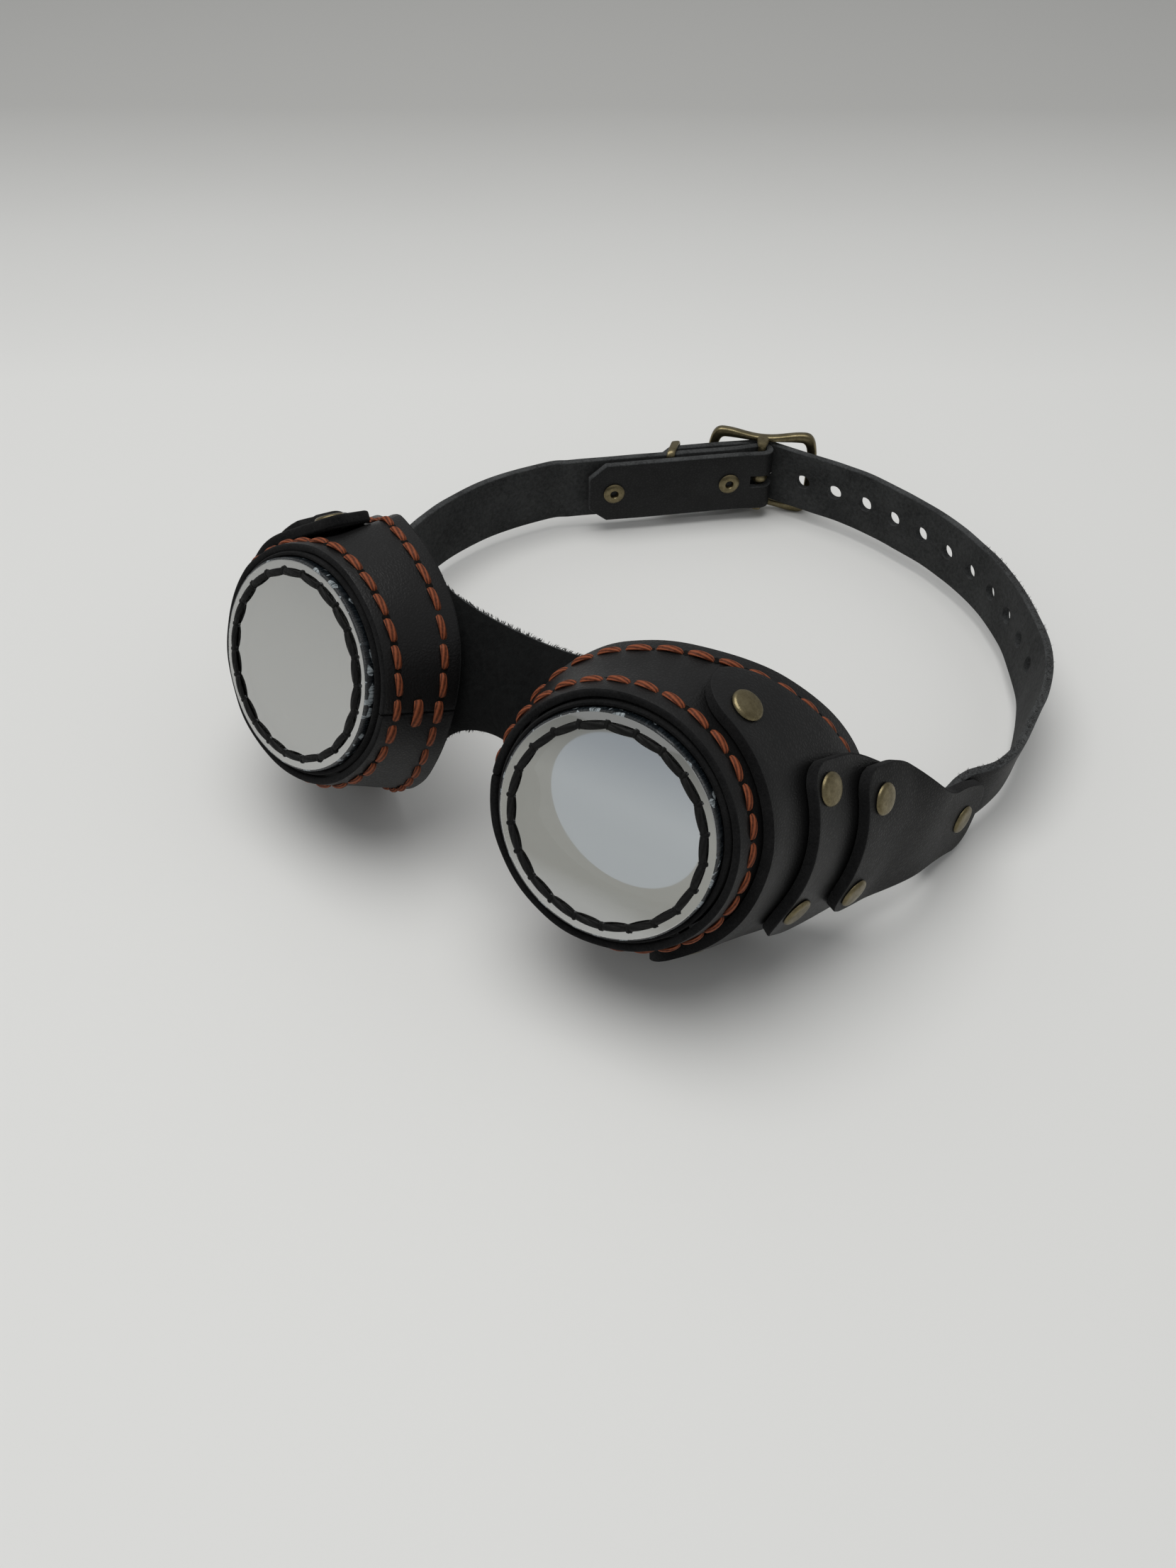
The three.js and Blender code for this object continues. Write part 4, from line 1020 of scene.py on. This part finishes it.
def strap_top(t):
    u = lerp(0.06, 0.5, t)
    p = right_surface(u, 1)
    along = right_surface(u + 0.005, 1) - right_surface(u - 0.005, 1)
    return p, Vector((0, 0, 1)), along.cross(Vector((0, 0, 1))).normalized()


bm = bmesh.new()
fuzz(bm, to_scene, strap_top, 800, 1.2, random.Random(23), 0)
piece("strap_right_fibres", bm, (fibre,), "strap", "leather", "strap_right")

ROUTE_LEFT = ((1.015, 0.113), (1.015, 0.225), (0.98, 0.376), (0.885, 0.545))
run_up = spline(strap_start(-1, ROUTE_LEFT) + [in_section(-63, 2), in_section(-57, 2)], 14)
turn = [around_bar(135 - k * 9, FOLD_BAR) for k in range(21)]
left_line = Line(run_up + [in_section(-28.5, 2), in_section(-8, 2)] + turn
                 + [in_section(-8, -2), in_section(-28.5, -2), in_section(-57, -2)])
bm = bmesh.new()
left_surface = strap_surface(left_line, clip_start=3, clip_end=5.5, lean=0)
sheet(bm, left_surface, STRAP, 260, 8, -1, to_scene, wave=0.2, seed=6.0, round_edge=0.3)
strap_left = piece("strap_left_leather", bm, strap_skins, "strap", "leather", "strap_left")
cutters = bmesh.new()
slot_at = in_section(1.5, 0)
slot_turn = Matrix.Rotation(radians(45), 4, "Z") @ Matrix.Diagonal((11, 14, 4.2, 1))
slot_place = to_scene @ Matrix.Translation((slot_at.x, slot_at.y, STRAP_Z)) @ slot_turn
bmesh.ops.create_cube(cutters, size=1.0, matrix=slot_place)
punch(strap_left, cutters)

# Fold rivets: two tubular brass rivets that close the strap's fold behind the buckle.
# They are set like eyelets, with rolled flanges on both faces and dark hollow middles.
for name, run in (("fold_rivet_1", -49), ("fold_rivet_2", -11)):
    bm = bmesh.new()
    half = 3.3
    outline = [(1.1, half + 0.35), (1.35, half + 0.7), (2.2, half + 0.75), (3.0, half + 0.55),
               (3.4, half + 0.2), (3.3, half), (1.8, half), (1.8, -half), (3.3, -half),
               (3.4, -half - 0.25), (3.0, -half - 0.6), (2.2, -half - 0.85), (1.4, -half - 0.8),
               (1.1, -half - 0.4)]
    p = in_section(run, 0)
    turn = facing(Vector((out_way.x, out_way.y, 0)))
    turned(bm, outline, 44, to_scene @ Matrix.Translation((p.x, p.y, STRAP_Z)) @ turn, uneven=0.01)
    piece(name + "_brass", bm, (brass,), "strap", "brass", name)

# Buckle: a cast antique brass frame with two swelling lobes, a waist and a round centre bar.
# Bosses at the waist carry the bar on the head's side of the frame, so that the fold clears it.
BUCKLE_YAW = radians(26)
FRAME_OUT = 4.2
buckle_turn = Matrix(((cos(BUCKLE_YAW), 0, sin(BUCKLE_YAW), BAR.x),
                      (sin(BUCKLE_YAW), 0, -cos(BUCKLE_YAW), BAR.y),
                      (0, 1, 0, STRAP_Z), (0, 0, 0, 1)))
in_buckle = to_scene @ buckle_turn
turn3 = in_buckle.to_3x3()
axes = ((1, 0, 0), (0, 1, 0), (0, 0, 1))
buckle_x, buckle_y, buckle_z = ((turn3 @ Vector(axis)).normalized() for axis in axes)


def bezier(points, steps):
    made = []
    for k in range(steps):
        t = k / steps
        level = [Vector(p) for p in points]
        while len(level) > 1:
            level = [a.lerp(b, t) for a, b in zip(level, level[1:])]
        made.append(level[0])
    return made


def quarters(first, second, steps):
    """A closed outline from one quarter, given as two curves from the left end to the top middle."""
    quarter = bezier(first, steps) + bezier(second, steps)
    back = [Vector((-p.x, p.y)) for p in reversed(quarter[1:])]
    top = quarter + [Vector(second[-1])] + back
    return top + [Vector((-p.x, -p.y)) for p in top]


outer = quarters(((-18, 0), (-18, 11.5), (-16.4, 14.35), (-13.2, 14.3)),
                 ((-13.2, 14.3), (-8.5, 14.2), (-5.5, 12.4), (0, 12.4)), 14)
inner = quarters(((-14.8, 0), (-14.8, 9), (-14.2, 11.2), (-12.2, 11.2)),
                 ((-12.2, 11.2), (-8, 11.2), (-4, 10.65), (0, 10.65)), 14)
bm = bmesh.new()
centres, across, wide = [], [], []
for o, i in zip(outer, inner):
    mid = (o + i) / 2
    way = (o - i).normalized()
    centres.append(in_buckle @ Vector((mid.x, mid.y, -FRAME_OUT)))
    across.append((turn3 @ Vector((way.x, way.y, 0))).normalized())
    wide.append((o - i).length / 2 * MM)
count = len(centres)
sweep(bm, centres, across, [buckle_z] * count, wide, [1.45 * MM] * count, 16, closed=True, power=0.55)
rod = [in_buckle @ Vector((0, y, 0)) for y in (-11.8, -11.4, -6, 0, 6, 11.4, 11.8)]
radii = [1.1 * MM] + [1.3 * MM] * 5 + [1.1 * MM]
sweep(bm, rod, [buckle_x] * 7, [buckle_z] * 7, radii, radii, 20)
boss = [(-4.6, 2.6, 0.9), (-3.2, 2.2, 0.95), (-1.6, 1.9, 0.85), (0, 1.7, 0.8), (1.2, 1.3, 0.6)]
for end in (1, -1):
    centres = [in_buckle @ Vector((0, end * 11.55, z)) for z, w, h in boss]
    sweep(bm, centres, [buckle_x] * 5, [buckle_y] * 5, [w * MM for z, w, h in boss],
          [h * MM for z, w, h in boss], 16, power=0.7)
piece("buckle_brass", bm, (brass,), "buckle", "brass", "buckle_frame")

# Tongue: a bent brass prong, looped loosely round the bar so that it can swing.
# It rises through a hole of the strap and rests with its thinner tip on the frame's end bar.
bm = bmesh.new()
count = 32
loop = [Vector((2.1 * cos(2 * pi * k / count), 0, -2.1 * sin(2 * pi * k / count))) for k in range(count)]
sweep(bm, [in_buckle @ p for p in loop], [(turn3 @ p).normalized() for p in loop], [buckle_y] * count,
      [0.55 * MM] * count, [1.25 * MM] * count, 12, closed=True, power=0.75)
bends = [(0.67, 1.83), (1.25, 3.4), (1.85, 5.0), (2.4, 6.4), (3.3, 7.5), (5.0, 8.3), (8, 8.4), (12, 7.6),
         (15.5, 6.75), (19, 6.6)]
centres = [in_buckle @ Vector((p.x, 0, -p.y)) for p in spline([Vector(p) for p in bends], 5)]
last = len(centres) - 1
ways = [(centres[min(k + 1, last)] - centres[max(k - 1, 0)]).normalized() for k in range(last + 1)]
taper = [lerp(1.0, 0.72, k / last) * (0.5 if k in (0, last) else 1) for k in range(last + 1)]
sweep(bm, centres, [way.cross(buckle_y).normalized() for way in ways], [buckle_y] * len(centres),
      [t * MM for t in taper], [1.25 * t * MM for t in taper], 14, power=0.85)
piece("tongue_brass", bm, (brass,), "tongue", "brass", "buckle_tongue")

# Keeper: a flat brass strip bent to a rectangular loop, which holds the strap's tip down.
# It goes round the tip and the outer layer of the fold, and sits a little askew.
bm = bmesh.new()
low_out, high_out, tall, bend = 0.0, 7.4, 10.9, 1.3
corners = [((high_out - bend, tall - bend), 0), ((low_out + bend, tall - bend), 90),
           ((low_out + bend, -tall + bend), 180), ((high_out - bend, -tall + bend), 270)]
ring, outs = [], []
for (x, y), start in corners:
    for k in range(7):
        a = radians(start + 15 * k)
        ring.append(Vector((x + bend * cos(a), y + bend * sin(a))))
        outs.append(Vector((cos(a), sin(a))))
mid = in_section(-28.5, 0)


def in_keeper(p):
    askew = 0.45 * (p.x - high_out / 2)
    spot = mid + out_way * p.x + along_way * askew
    return to_scene @ Vector((spot.x, spot.y, STRAP_Z + p.y))


side_way = Vector((along_way.x, along_way.y, 0))
sweep(bm, [in_keeper(p) for p in ring], [Vector((out_way.x * n.x, out_way.y * n.x, n.y)) for n in outs],
      [side_way] * len(ring), [0.6 * MM] * len(ring), [1.4 * MM] * len(ring), 16, closed=True, power=0.7)
piece("keeper_brass", bm, (brass,), "keeper", "brass", "keeper_loop")
